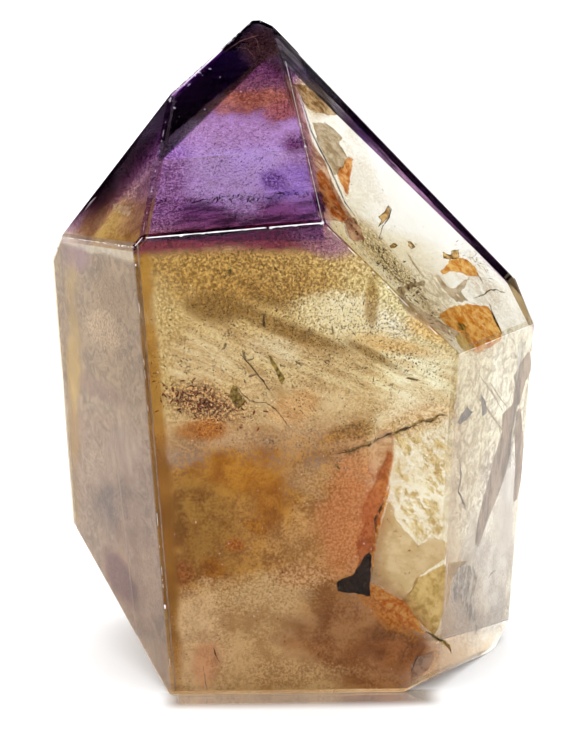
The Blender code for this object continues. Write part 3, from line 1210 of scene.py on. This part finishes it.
def ribbon(line: Outline, width: float) -> Outline:
    """Return the outline of a thin pointed strip along a line.

    Args:
        line: the x and z of its points, in millimetres.
        width: its width at the middle, in millimetres.

    Returns:
        The x and z of its corners, there along one side and back along the other.
    """
    there, back = [], []
    last = len(line) - 1
    for i, (x, z) in enumerate(line):
        (x0, z0), (x1, z1) = line[max(i - 1, 0)], line[min(i + 1, last)]
        long = math.hypot(x1 - x0, z1 - z0)
        half = width * 0.5 * (1.0 if 0 < i < last else 0.25)
        step = (-(z1 - z0) / long * half, (x1 - x0) / long * half)
        there.append((x + step[0], z + step[1]))
        back.append((x - step[0], z - step[1]))
    return (*there, *reversed(back))


def off_line(spot: Vector, start: Vector, end: Vector) -> float:
    """Measure from a flat point to the line between two others.

    Args:
        spot: the point.
        start: one end of the line.
        end: the other end.

    Returns:
        The distance.
    """
    along = end - start
    share = (spot - start).dot(along) / along.length_squared
    return (spot - start - along * min(max(share, 0.0), 1.0)).length


@dataclass
class Film:
    """A flake, stain or film with a drawn outline, flat under one facet.

    ragged is how far waves and finer waves push it about in its plane, in
    millimetres.  A thick film gets a rough surface as well.
    """

    name: str
    cut: Cut
    depth: float
    outline: Outline
    matter: Matter
    ragged: float = 0.25
    thickness: float = 0.0
    cuts: int = 6
    waves: float = 0.9
    fine_waves: float = 3.1
    fine_share: float = 0.6
    lump_waves: float = 2.1
    lumps: float = 0.12

    def build(self) -> Part:
        """Fill the outline, roughen it and dress it.

        Returns:
            The film, as a sheet or with its thickness.
        """
        outward = self.cut.normal()
        add = bpy.ops.mesh.primitive_circle_add
        part = started(add, self.name, vertices=len(self.outline), fill_type="NGON")
        for corner, (x, z) in zip(part.data.vertices, self.outline):
            corner.co = self.cut.lifted(Vector((x, 0.0, z)), self.depth) * MM
        bpy.ops.object.mode_set(mode="EDIT")
        bpy.ops.mesh.select_all(action="SELECT")
        bpy.ops.mesh.quads_convert_to_tris(ngon_method="BEAUTY")
        bpy.ops.mesh.subdivide(number_cuts=self.cuts)
        bpy.ops.object.mode_set(mode="OBJECT")
        self.mark_rim(part)
        for corner in part.data.vertices:
            spot = corner.co / MM
            wander = noise.noise_vector(spot * self.waves)
            wander += noise.noise_vector(spot * self.fine_waves) * self.fine_share
            wander -= outward * wander.dot(outward)
            corner.co = (spot + wander * self.ragged) * MM
        if part.data.polygons[0].normal.dot(outward) < 0.0:
            part.data.flip_normals()
        if self.thickness:
            self.fatten(part)
        self.matter.dress(part)
        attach(part, BODY)
        return part

    def mark_rim(self, part: Part) -> None:
        """Store at every corner how far it lies inside the outline, in millimetres.

        Args:
            part: the film, still flat.
        """
        ends = [Vector(end) for end in self.outline]
        sides = list(zip(ends, (*ends[1:], ends[0])))
        rim = part.data.attributes.new("rim", "FLOAT", "POINT")
        for corner, mark in zip(part.data.vertices, rim.data):
            spot = Vector((corner.co.x, corner.co.z)) / MM
            mark.value = min(off_line(spot, start, end) for start, end in sides)

    def fatten(self, part: Part) -> None:
        """Give the film its thickness and a rough surface.

        Args:
            part: the film.
        """
        thin_out(part, self.thickness)
        for corner in part.data.vertices:
            spot = corner.co / MM
            corner.co = (spot + noise.noise_vector(spot * self.lump_waves) * self.lumps) * MM


SALMON_EDGE = ((11.4, 28.2), (10.6, 26.5), (9.8, 24.8), (10.1, 22.8), (9.4, 20.3))
DARK_CRACK = (
    (3.8, 34), (6, 34.4), (8.4, 35.3), (10.8, 36.4), (13.1, 37.3), (15.1, 38.1), (17.1, 38.7), (19.8, 39.8),
)
LOW_RIM = ((16.9, 8.8), (18, 8.1), (19.2, 7.3), (20.3, 6.5), (20.6, 5.4))
THIN_CRACK = (
    (-8.8, 43.7), (-7.7, 42.3), (-6.9, 41.5), (-5.3, 41.2), (-4.3, 41), (-3.5, 40.3), (-2.7, 39.2),
    (-1.6, 37.6),
)
PALE_CRACK = (
    (0.2, 80), (0.9, 77.7), (1.5, 75.5), (2.6, 73.2), (3.9, 70.8), (4.8, 68.6), (5.7, 66.5), (6.7, 65.2),
)

FILMS = (
    # under the front wall
    Film("salmon_stain", FRONT_WALL, 0.5, (
        (11.2, 35.5), (10.2, 32.6), (9.4, 30.6), (8.4, 28.6), (7.6, 26.4), (7.9, 24.2), (6.9, 21.8),
        (7.3, 19.6), (7, 17.8), (8.8, 18.2), (10.1, 20), (10.5, 22.7), (10.9, 24.9), (11.5, 27.9),
        (12.3, 31.2), (12.6, 34.1)), STAIN),
    Film("salmon_stain_top", FRONT_WALL, 0.55, (
        (10, 38), (8.7, 34.6), (8.4, 31.4), (9.4, 29.6), (11.6, 30.2), (12.6, 33), (12.8, 37.2)), BLUSH),
    Film("salmon_stain_edge", FRONT_WALL, 0.45, ribbon(SALMON_EDGE, 0.3), CRACK, 0.2),
    Film("salmon_stain_rust", FRONT_WALL, 0.44, ribbon((
        (12, 30.4), (11.2, 28), (10.5, 25.4), (10, 22.8), (9.6, 20), (9.5, 16.2)), 0.55), RUST, 0.15),
    Film("goethite_wedge", FRONT_WALL, 0.6, (
        (9.2, 20.2), (8.4, 19.7), (7.6, 18.2), (6.9, 16.9), (5.5, 16.5), (4.7, 15.8), (5, 14.8),
        (6.7, 14.5), (8, 14.3), (9.3, 14), (9.1, 15.6), (9.4, 17.3), (9.3, 19.4)), IRON, 0.2, 0.5),
    Film("toe_line_left", FRONT_WALL, 0.42, ribbon((
        (15.4, 7.6), (14.3, 6.3), (13.6, 4.5)), 0.16), CRACK, 0.1),
    Film("toe_line_right", FRONT_WALL, 0.42, ribbon((
        (16.9, 6.6), (15.7, 4.7), (14.8, 2.3)), 0.14), CRACK, 0.1),
    Film("toe_line_high", FRONT_WALL, 0.42, ribbon((
        (13.1, 9), (12.6, 8.3), (12.4, 7.3)), 0.12), CRACK, 0.1),
    Film("orange_band", FRONT_WALL, 0.5, (
        (9.2, 16), (10.7, 15.2), (12.4, 14.2), (14.1, 13.1), (15.6, 11), (16.5, 9.2), (17.4, 8.3),
        (15.7, 8.7), (14.3, 9.5), (12.9, 10.7), (11.1, 12.2), (9.8, 13.5), (8.8, 14.2)), RUST),
    Film("low_rim", FRONT_WALL, 0.5, ribbon(LOW_RIM, 0.9), RIM),
    Film("low_rim_line", FRONT_WALL, 0.46, ribbon(LOW_RIM, 0.22), CRACK, 0.1),
    Film("clear_patch", FRONT_WALL, 0.6, (
        (11.4, 27.6), (10.6, 24.8), (10.1, 22.8), (9.5, 19.1), (9.4, 16.2), (10.7, 15.3), (12.7, 13.7),
        (14.1, 13.2), (15.1, 14.7), (16.2, 16.8), (17.8, 18.1), (19.4, 19), (19.4, 21.9), (17.7, 22.4),
        (15.8, 21.2), (13.9, 23.3), (12.8, 24.8), (12.2, 26.9)), SAND),
    Film("yellow_film", FRONT_WALL, 0.6, (
        (16.5, 17), (17.8, 17.8), (19.4, 18.7), (19.7, 17.2), (19.7, 14.6), (19.2, 11.4), (18.8, 9.2),
        (18.2, 8), (17.5, 8.5), (16.1, 10), (14.3, 11.6), (13.3, 13.3), (14.7, 14.8),
        (15.3, 16.5)), REED, 0.15),
    Film("yellow_film_side", RIGHT_WALL, 0.6, (
        (19.4, 18.5), (21.9, 17.5), (23.4, 16.6), (21.3, 16.3), (20.3, 15.3), (20, 13.1), (19.4, 11),
        (19.3, 13), (19.4, 16)), REED, 0.15),
    Film("clay_foot", FRONT_WALL, 0.6, (
        (14.8, 3.8), (15.9, 5.3), (17.5, 5.8), (18.4, 6.2), (18.4, 4.6), (17.6, 3), (16.6, 2.2),
        (14.9, 0.8)), CLAY),
    Film("dark_crack_line", FRONT_WALL, 0.5, ribbon(DARK_CRACK, 0.16), CRACK, 0.35),
    Film("dark_crack_halo", FRONT_WALL, 0.6, ribbon(DARK_CRACK, 0.9), RIM, 0.3),
    Film("thin_crack", FRONT_WALL, 0.6, ribbon(THIN_CRACK, 0.15), CRACK, 0.2),
    Film("thin_crack_left", FRONT_WALL, 0.6, ribbon((
        (-8.2, 47.9), (-6.3, 45.6), (-4.8, 43.6), (-4.3, 42.8)), 0.2), CRACK, 0.2),
    Film("olive_flake_right", FRONT_WALL, 0.6, (
        (-4.5, 47.6), (-4.1, 47.5), (-3.5, 46.4), (-2.8, 45.3), (-2.3, 44.5), (-2.7, 43.6), (-3.1, 44.2),
        (-3.4, 45.3), (-4.1, 46.4)), MOSS, 0.1),
    Film("olive_flake_left", FRONT_WALL, 0.6, (
        (-9.2, 43.7), (-8.6, 43.4), (-8.1, 42.3), (-7.5, 41.5), (-7.9, 40.7), (-8.5, 40.4), (-9.2, 41.4),
        (-9.6, 42.3)), MOSS, 0.15),
    Film("crackled_film", FRONT_WALL, 0.7, (
        (10.9, 38.9), (13, 39.6), (19.6, 40.2), (19.6, 30.4), (19.6, 21.9), (17.7, 22.4), (15.8, 21.2),
        (13.9, 23.3), (12.8, 24.8), (12.2, 26.9), (11.8, 30), (12.4, 33.8)), CREST),
    Film("foot_crack", FRONT_WALL, 0.5, ribbon((
        (-13.4, 4.2), (-13.1, 1.8), (-12.9, 0.6)), 0.22), THREAD, 0.1),
    Film("foot_crack_left", FRONT_WALL, 0.5, ribbon((
        (-12, 6.8), (-11.7, 5.9), (-11.2, 4.7)), 0.22), CRACK, 0.1),
    # under the front tip facet
    Film("tip_hairline", FRONT_TIP, 0.4, ribbon((
        (-9.8, 85.5), (-7.9, 86.9), (-5.7, 87.6), (-3.9, 88.1)), 0.1), HAIR, 0.1),
    Film("tip_hairline_middle", FRONT_TIP, 0.4, ribbon((
        (-8.4, 86.2), (-6.7, 86), (-5.4, 84.7)), 0.1), HAIR, 0.1),
    Film("tip_hairline_high", FRONT_TIP, 0.4, ribbon((
        (-6.4, 88.2), (-5.3, 87.1), (-4.8, 85.3)), 0.1), HAIR, 0.1),
    # under the right tip facet
    Film("rosy_strip", RIGHT_TIP, 0.5, (
        (-2, 83.6), (-0.8, 82.1), (0.1, 79.8), (1, 76.5), (1.7, 74), (3.3, 71.7), (4.2, 69), (5.4, 66.6),
        (6.7, 64.6), (5.5, 64.2), (4.2, 64.6), (2.7, 65), (1.9, 65.6), (1.6, 67.9), (1, 70.5), (0.5, 73.6),
        (-0.2, 76.8), (-1, 80.2)), PETAL, 0.1),
    Film("orange_red_stain", RIGHT_TIP, 0.4, (
        (1.7, 70.7), (2.7, 71), (3.4, 70.1), (4.2, 68.6), (5.2, 66.5), (6.4, 64.6), (5.2, 64.3),
        (3.6, 65.2), (2.5, 66.8), (1.9, 68.6)), EMBER, 0.15),
    Film("purple_smudge", RIGHT_TIP, 0.4, (
        (0.8, 68.6), (2.3, 68.6), (3.6, 67.2), (2.7, 65.6), (1.5, 66.2)), GRAPE, 0.3),
    Film("tan_stain_under_crack", RIGHT_TIP, 0.5, (
        (5.2, 64.5), (6.8, 64.8), (7.6, 63.4), (8.2, 62), (6.6, 61.8), (5.5, 62.9)), PETAL, 0.3),
    Film("grey_tan_patch", RIGHT_TIP, 0.6, (
        (1.7, 76.3), (3.4, 76.3), (5.1, 75.2), (6.1, 74), (5.6, 73.3), (6.5, 72.2), (6.7, 71.1),
        (5.8, 70.3), (4.3, 69.4), (3.5, 70.6), (2.9, 72), (2.2, 73.6)), SMOKE, 0.35),
    Film("orange_brown_patch", RIGHT_TIP, 0.58, (
        (4.6, 70.1), (5.6, 70.8), (6.6, 71.9), (7.6, 71.5), (7.2, 69.6), (6.7, 68), (6, 66.6),
        (5.1, 68.5)), EMBER, 0.3),
    Film("golden_top_patch", RIGHT_TIP, 0.6, (
        (-0.9, 81.2), (0, 81.4), (1.5, 81), (2.9, 80), (4.5, 78.4), (6.2, 76.5), (3.5, 77.1), (2.2, 77.4),
        (0.9, 78.2), (0.1, 79.7)), TAWNY, 0.3),
    Film("low_pale_crack", RIGHT_TIP, 0.4, ribbon((
        (5.4, 64.3), (5.7, 63.1), (5.9, 62.4), (6.3, 62)), 0.16), GLINT, 0.05),
    Film("pale_crack", RIGHT_TIP, 0.45, ribbon(PALE_CRACK, 0.34), GLINT, 0.06),
    Film("pale_crack_line", RIGHT_TIP, 0.44, ribbon(PALE_CRACK, 0.12), CRACK, 0.1),
    Film("golden_leaf", RIGHT_TIP, 0.6, (
        (10.4, 64), (11.3, 64.4), (12.2, 65.1), (12.4, 64.5), (12, 63.7), (10.9, 63.2), (10.2, 62.9),
        (10.8, 63.6)), BRONZE, 0.08),
    Film("golden_leaf_edge", RIGHT_TIP, 0.5, ribbon((
        (12.2, 65.1), (12.6, 64.6), (12.1, 63.7), (11, 63), (10.1, 61.4)), 0.16), CRACK, 0.05),
    Film("brown_crescent", RIGHT_TIP, 0.6, (
        (11.6, 60.6), (12.3, 60.8), (13, 60.4), (12.4, 60.2), (11.8, 60.3)), BRONZE, 0.05),
    Film("tan_crescent", RIGHT_TIP, 0.6, (
        (14.6, 60.6), (15.1, 60.4), (15.7, 59.7), (15, 59.6), (14.5, 60.1)), BRONZE, 0.05),
    Film("grey_hairline", RIGHT_TIP, 0.6, ribbon((
        (14.1, 59.5), (15.1, 57.9), (16.4, 56.2)), 0.3), THREAD, 0.1),
    Film("brown_smudge", RIGHT_TIP, 0.5, (
        (11.8, 55.9), (13.4, 56.3), (16.8, 56.1), (16.5, 55.4), (13.8, 55.4), (13.2, 54.9), (14.6, 53.8),
        (18.3, 51.2), (21.2, 49.3), (20.2, 48.9), (16.8, 50.8), (13.3, 53.2)), SMOKE, 0.3),
    Film("beige_fork", RIGHT_TIP, 0.6, (
        (18, 56.1), (18.8, 56.1), (20, 54.6), (20.9, 54.1), (22.8, 54.7), (24.4, 54.9), (23.4, 54),
        (22.2, 53.4), (23.3, 52), (21.1, 52.4), (20.1, 53.3), (19, 54.5)), SMOKE, 0.25),
    Film("orange_flake", RIGHT_TIP, 0.6, (
        (19, 56.3), (20.5, 57), (21.5, 57.4), (22.8, 57.3), (24.1, 56.7), (25.3, 55.6), (25.8, 54.3),
        (24.3, 54.6), (22.9, 55.2), (21.6, 55.7), (20.5, 56), (19.5, 55.7)), OCHRE, 0.3),
    Film("orange_flake_top", RIGHT_TIP, 0.55, (
        (20, 58.3), (21.1, 57.9), (21.8, 58.2), (22.8, 58), (22.5, 57.2), (21.5, 57.3), (20.7, 57.3),
        (20, 57.6)), BRONZE, 0.3),
    Film("orange_fan", RIGHT_TIP, 0.7, (
        (17.8, 51.9), (19.8, 52.3), (22.1, 52.1), (24, 51.7), (26.1, 51), (26.7, 50.2), (27.2, 49.2),
        (28, 47.7), (27.4, 46.9), (26, 46.6), (23.7, 46.6), (22.5, 46.8), (22.2, 47.6), (20.9, 49.1),
        (19, 50.3), (18.1, 51.2)), OCHRE, 0.35),
    Film("yellow_fan", RIGHT_TIP, 0.66, (
        (20, 49.6), (22.1, 49.3), (23, 48), (23.1, 46.8), (21, 47.2), (20, 48.6)), REED, 0.3),
    Film("olive_spot", RIGHT_TIP, 0.55, ((20.6, 50.6), (21.9, 50), (21.9, 49.3), (21, 49.6)), MOSS, 0.1),
    Film("hair_crack_high", RIGHT_TIP, 0.5, ribbon((
        (24, 52.4), (25.5, 52.4), (26.7, 52.6), (28.2, 52.4), (29.6, 51.8)), 0.14), CRACK, 0.2),
    Film("hair_crack_low", RIGHT_TIP, 0.5, ribbon((
        (25.1, 55.1), (25.7, 54.3), (26.1, 53.5)), 0.14), CRACK, 0.1),
    Film("orange_fan_edge", RIGHT_TIP, 0.5, ribbon((
        (26.6, 51.2), (26.8, 50), (27.3, 48.9), (27.8, 47.8)), 0.34), CRACK, 0.08),
    # under the right wall
    Film("rosy_strap", RIGHT_WALL, 0.6, (
        (30.2, 36.9), (28.2, 36.1), (28.4, 33.5), (27.1, 30.3), (26.2, 27.5), (25.2, 24.6), (24.4, 21.7),
        (24.1, 18.5), (24.8, 17.6), (26.4, 20.9), (28, 23.5), (29.4, 26.2), (30.3, 29.2), (30.5, 32.9),
        (31.2, 35.5), (31.5, 36.6)), STRAP, 0.2),
    Film("rosy_strap_top", RIGHT_WALL, 0.6, (
        (33.2, 44), (33.9, 40.7), (32.8, 39.5), (32.2, 37.9), (31.7, 36.1), (30, 36.3), (30.3, 37.7),
        (30.4, 39.8), (30.1, 40.9), (31.6, 42.8)), STRAP, 0.2),
    Film("rosy_strap_side", RIGHT_WALL, 0.62, (
        (32, 35.6), (32.9, 29.7), (32.8, 24.6), (32, 21.3), (31.1, 21.6), (31.2, 26.9), (30.8, 32.2),
        (31, 35.6)), STRAP, 0.15),
    Film("thread_left", RIGHT_WALL, 0.55, ribbon((
        (22.8, 41.6), (25.8, 37.5), (28.6, 33.5)), 0.3), THREAD, 0.08),
    Film("thread_middle", RIGHT_WALL, 0.55, ribbon((
        (23.8, 43.4), (26.2, 40.2), (28.5, 36.4)), 0.3), THREAD, 0.08),
    Film("thread_right", RIGHT_WALL, 0.55, ribbon((
        (25.8, 41.7), (27.5, 39.1), (29.2, 36.8)), 0.26), THREAD, 0.08),
    Film("grey_dash", RIGHT_WALL, 0.5, (
        (29.3, 44.7), (30, 44.8), (31.1, 43.7), (30.7, 43.2), (29.6, 43.8)), VEINED, 0.2),
    Film("olive_tick", RIGHT_WALL, 0.5, ribbon(((27, 12), (27.5, 12.4), (28.4, 12.5)), 0.22), CRACK, 0.05),
    Film("crackle_edge", RIGHT_WALL, 0.5, ribbon((
        (20.9, 33.2), (21.3, 30.6), (21, 28), (21.7, 26.4), (22.5, 24.4)), 0.2), CRACK, 0.25),
    Film("grey_flake_high", RIGHT_WALL, 0.6, (
        (24, 41.1), (25.2, 39.2), (25.6, 37.3), (24.6, 37.1), (24.3, 39.2)), COAL, 0.1),
    Film("grey_flake_low", RIGHT_WALL, 0.6, (
        (20.2, 38.1), (20.7, 38.9), (22, 39.8), (22.4, 39), (23.2, 38.5), (21.9, 37.7),
        (20.8, 37.5)), COAL, 0.2),
    Film("wavy_grey_patch", RIGHT_WALL, 0.6, (
        (22.1, 16.9), (24.1, 15.5), (25, 13.2), (24.4, 11), (25, 7.6), (25.7, 3.3), (24.4, 5), (22.9, 9),
        (21.7, 11.9), (20.7, 11.3), (19.9, 13.4), (20.3, 15.8), (21.3, 16.8)), VEINED, 0.2),
    # under the left tip facet
    Film("pale_gold_crust", LEFT_TIP, 0.6, (
        (-25.1, 65.9), (-24, 66.2), (-22.2, 66.2), (-21.6, 65.6), (-22.1, 64.8), (-23.6, 64.7),
        (-24.9, 65)), LEMON, 0.25),
    Film("pale_dash", LEFT_TIP, 0.5, ribbon((
        (-28.9, 64.4), (-28.2, 65.4), (-27.4, 66.2)), 0.25), GLINT, 0.08),
)


# --------------------------------------------------------------- painted edge highlights and chips


class EdgeMarks(NamedTuple):
    """How the edge between two cuts is marked: thin white marks along it, which are painted highlights, and
    frosted chips.

    per_mm is the number of marks to a millimetre, width is their width and
    chips is the number of larger chips to a millimetre.
    """

    first: Cut
    second: Cut
    per_mm: float
    width: float
    chips: float = 0.0

    def is_between(self, *ends: Vector) -> bool:
        """Return whether the line between these ends lies on both cuts."""
        return self.first.holds(*ends) and self.second.holds(*ends)


# the thin white marks along each edge are painted highlights; the chips are chips
MARKED_EDGES = (
    EdgeMarks(FRONT_TIP, FRONT_WALL, 5, 0.15, 0.5),
    EdgeMarks(FRONT_TIP, RIGHT_TIP, 3.2, 0.07, 0.2),
    EdgeMarks(FRONT_TIP, LEFT_TIP, 0.5, 0.05, 0.12),
    EdgeMarks(FRONT_TIP, BACK_LEFT_TIP, 0.6, 0.07, 1.6),
    EdgeMarks(RIGHT_TIP, FRONT_WALL, 0.8, 0.07, 0.1),
    EdgeMarks(RIGHT_TIP, RIGHT_RIDGE, 1.2, 0.07, 0.1),
    EdgeMarks(RIGHT_TIP, RIGHT_WALL, 1.5, 0.08, 0.1),
    EdgeMarks(LEFT_TIP, FRONT_WALL, 1, 0.07, 0.3),
    EdgeMarks(LEFT_TIP, LEFT_WALL, 1, 0.07, 0.2),
    EdgeMarks(FRONT_WALL, LEFT_WALL, 0.25, 0.05, 0.06),
    EdgeMarks(FRONT_WALL, RIGHT_WALL, 0.1, 0.05),
)


@dataclass
class EdgeHighlightsAndChips:
    """Thin white marks along the stone's sharp edges, which are painted highlights, and small frosted
    chips.

    The sizes are in millimetres.  sunk and chip_sunk draw the marks and the
    chips in a little towards the middle of the foot, and what lies below
    foot_height has none.
    """

    name: str = "edge_highlights_and_chips"
    matter: Matter = FROST_AND_HIGHLIGHT
    other: EdgeMarks = EdgeMarks(FOOT, FOOT, 0.25, 0.05)
    mark_length: Flat = (0.3, 1.6)
    mark_width: Flat = (0.6, 1.5)
    chip_length: Flat = (0.15, 0.55)
    chip_width: Flat = (0.5, 0.9)
    sunk: float = 0.9984
    chip_sunk: float = 0.999
    foot_height: float = 0.2
    seed: int = 21

    def edges(self) -> list[tuple[Vector, Vector]]:
        """Find the stone's sharp edges.

        Returns:
            The two ends of each, in millimetres.
        """
        part = cut_block("edge_guide")
        mesh = bmesh.from_edit_mesh(part.data)
        found = [tuple(corner.co / MM for corner in edge.verts) for edge in mesh.edges if is_sharp(edge)]
        bpy.ops.object.mode_set(mode="OBJECT")
        bpy.data.objects.remove(part, do_unlink=True)
        return found

    def marks_on(self, start: Vector, end: Vector) -> EdgeMarks:
        """Return how worn the edge between two points is."""
        return next((edge_marks for edge_marks in MARKED_EDGES if edge_marks.is_between(start, end)), self.other)

    def build(self) -> Part:
        """Draw the marks and chips along every edge.

        Returns:
            All the painted highlight marks and chips as one piece.
        """
        draw = random.Random(self.seed)
        places = []
        for start, end in self.edges():
            way = end - start
            if max(start.z, end.z) < self.foot_height:
                continue
            edge_marks = self.marks_on(start, end)
            aim = way.to_track_quat("X", "Z").to_matrix().to_4x4()
            # the first marks are painted highlights along the edge, the rest are chips
            marks = int(way.length * edge_marks.per_mm)
            for i in range(marks + int(way.length * edge_marks.chips)):
                spot = start.lerp(end, draw.random()) * self.sunk
                span = draw.uniform(*self.mark_length)
                width = edge_marks.width * draw.uniform(*self.mark_width)
                if i >= marks:
                    span = draw.uniform(*self.chip_length)
                    width = span * draw.uniform(*self.chip_width)
                    spot *= self.chip_sunk
                places.append(placed(spot, (span, width, width), aim))
        return crumbs(self.name, places, self.matter)


# ---------------------------------------------------------- floor and light


@dataclass
class Studio:
    """The pale floor, the soft light and the camera.

    Close in front of the stone the floor is glossy: gloss is how much,
    gloss_reach and gloss_side are how far, in millimetres.
    """

    floor_size: float = 80.0
    floor_height: float = -0.00005
    floor_tones: tuple[Colour, Colour] = ((93, 93, 93), (95, 95, 95))
    gloss: float = 0.85
    gloss_tone: Colour = (97, 97, 97)
    gloss_rough: float = 0.12
    gloss_reach: float = 6.0
    gloss_side: float = 19.0
    light: float = 1.75
    lens: float = 87.3
    sensor: float = 36.0
    sight: Flat = (0.01, 200.0)
    camera_at: Spot = (-0.0108, -0.2515, 0.0944)
    camera_turn: Spot = (78.0, 0.0, -1.98)
    glass_bounces: int = 32
    clear_bounces: int = 40
    matt_bounces: int = 3
    glossy_bounces: int = 12

    def floor(self) -> Part:
        """Lay the floor.

        Returns:
            A wide pale floor with a faint gloss.
        """
        spot = (0.0, 0.0, self.floor_height)
        floor = started(bpy.ops.mesh.primitive_plane_add, "floor", size=self.floor_size, location=spot)
        mix = Recipe("pale_floor")
        tone = mix.blend(mix.noise(0.02, detail=2.0), *self.floor_tones)
        floor.data.materials.append(mix.solid(tone, rough=0.6, shine=0.05))
        self.add_gloss(mix)
        return floor

    def add_gloss(self, mix: Recipe) -> None:
        """Give the floor's material a soft gloss close before the foot.

        Args:
            mix: the floor's material.
        """
        place = mix.add("ShaderNodeSeparateXYZ", {0: mix.mm}).outputs
        ahead = mix.sum("SUBTRACT", -FRONT_WALL.reach, place[1])
        near = mix.step(ahead, self.gloss_reach * 0.4, self.gloss_reach, self.gloss, 0.0)
        near = mix.sum("MULTIPLY", near, mix.step(ahead, -1.5, -0.5))
        for side in (-1.0, 1.0):
            beyond = mix.sum("MULTIPLY_ADD", place[0], side, -self.gloss_side)
            near = mix.sum("MULTIPLY", near, mix.step(beyond, -3.0, 1.0, 1.0, 0.0))
        shine = {"Color": self.gloss_tone, "Roughness": self.gloss_rough}
        mirror = mix.add("ShaderNodeBsdfGlossy", shine).outputs[0]
        end = mix.out.inputs["Surface"]
        matt = end.links[0].from_socket
        mix.feed(end, mix.add("ShaderNodeMixShader", {0: near, 1: matt, 2: mirror}).outputs[0])

    def sky(self) -> None:
        """Light the stone evenly from all sides."""
        world = bpy.data.worlds.new("soft_white_room")
        world.use_nodes = True
        back = world.node_tree.nodes["Background"]
        back.inputs["Color"].default_value = (1.0, 1.0, 1.0, 1.0)
        back.inputs["Strength"].default_value = self.light
        world.cycles_visibility.glossy = False
        bpy.context.scene.world = world

    def camera(self) -> None:
        """Stand the camera in front of the stone, looking a little down."""
        data = bpy.data.cameras.new("front_camera")
        data.lens = self.lens
        data.sensor_width = self.sensor
        data.clip_start, data.clip_end = self.sight
        camera = bpy.data.objects.new("front_camera", data)
        camera.location = self.camera_at
        camera.rotation_euler = [math.radians(turn) for turn in self.camera_turn]
        bpy.context.collection.objects.link(camera)
        bpy.context.scene.camera = camera

    def paths(self) -> None:
        """Let sight and light pass through many layers of the stone."""
        scene = bpy.context.scene
        scene.view_settings.view_transform = "Standard"
        scene.cycles.max_bounces = self.glass_bounces
        scene.cycles.transmission_bounces = self.glass_bounces
        scene.cycles.diffuse_bounces = self.matt_bounces
        scene.cycles.glossy_bounces = self.glossy_bounces
        scene.cycles.transparent_max_bounces = self.clear_bounces

    def build(self) -> Part:
        """Set up the whole studio.

        Returns:
            The floor.
        """
        floor = self.floor()
        self.sky()
        self.camera()
        self.paths()
        return floor


def main() -> None:
    """Build the studio, the stone and what is sealed in it."""
    logging.basicConfig(level=logging.INFO)
    noise.seed_set(NOISE_SEED)
    inclusions = (*VEILS, *CLUSTERS, *FRACTURES, *FILMS)
    for maker in (Studio(), StoneShell(), *ZONES, *inclusions, EdgeHighlightsAndChips()):
        LOG.info("made %s", maker.build().name)


if __name__ == "__main__":
    main()
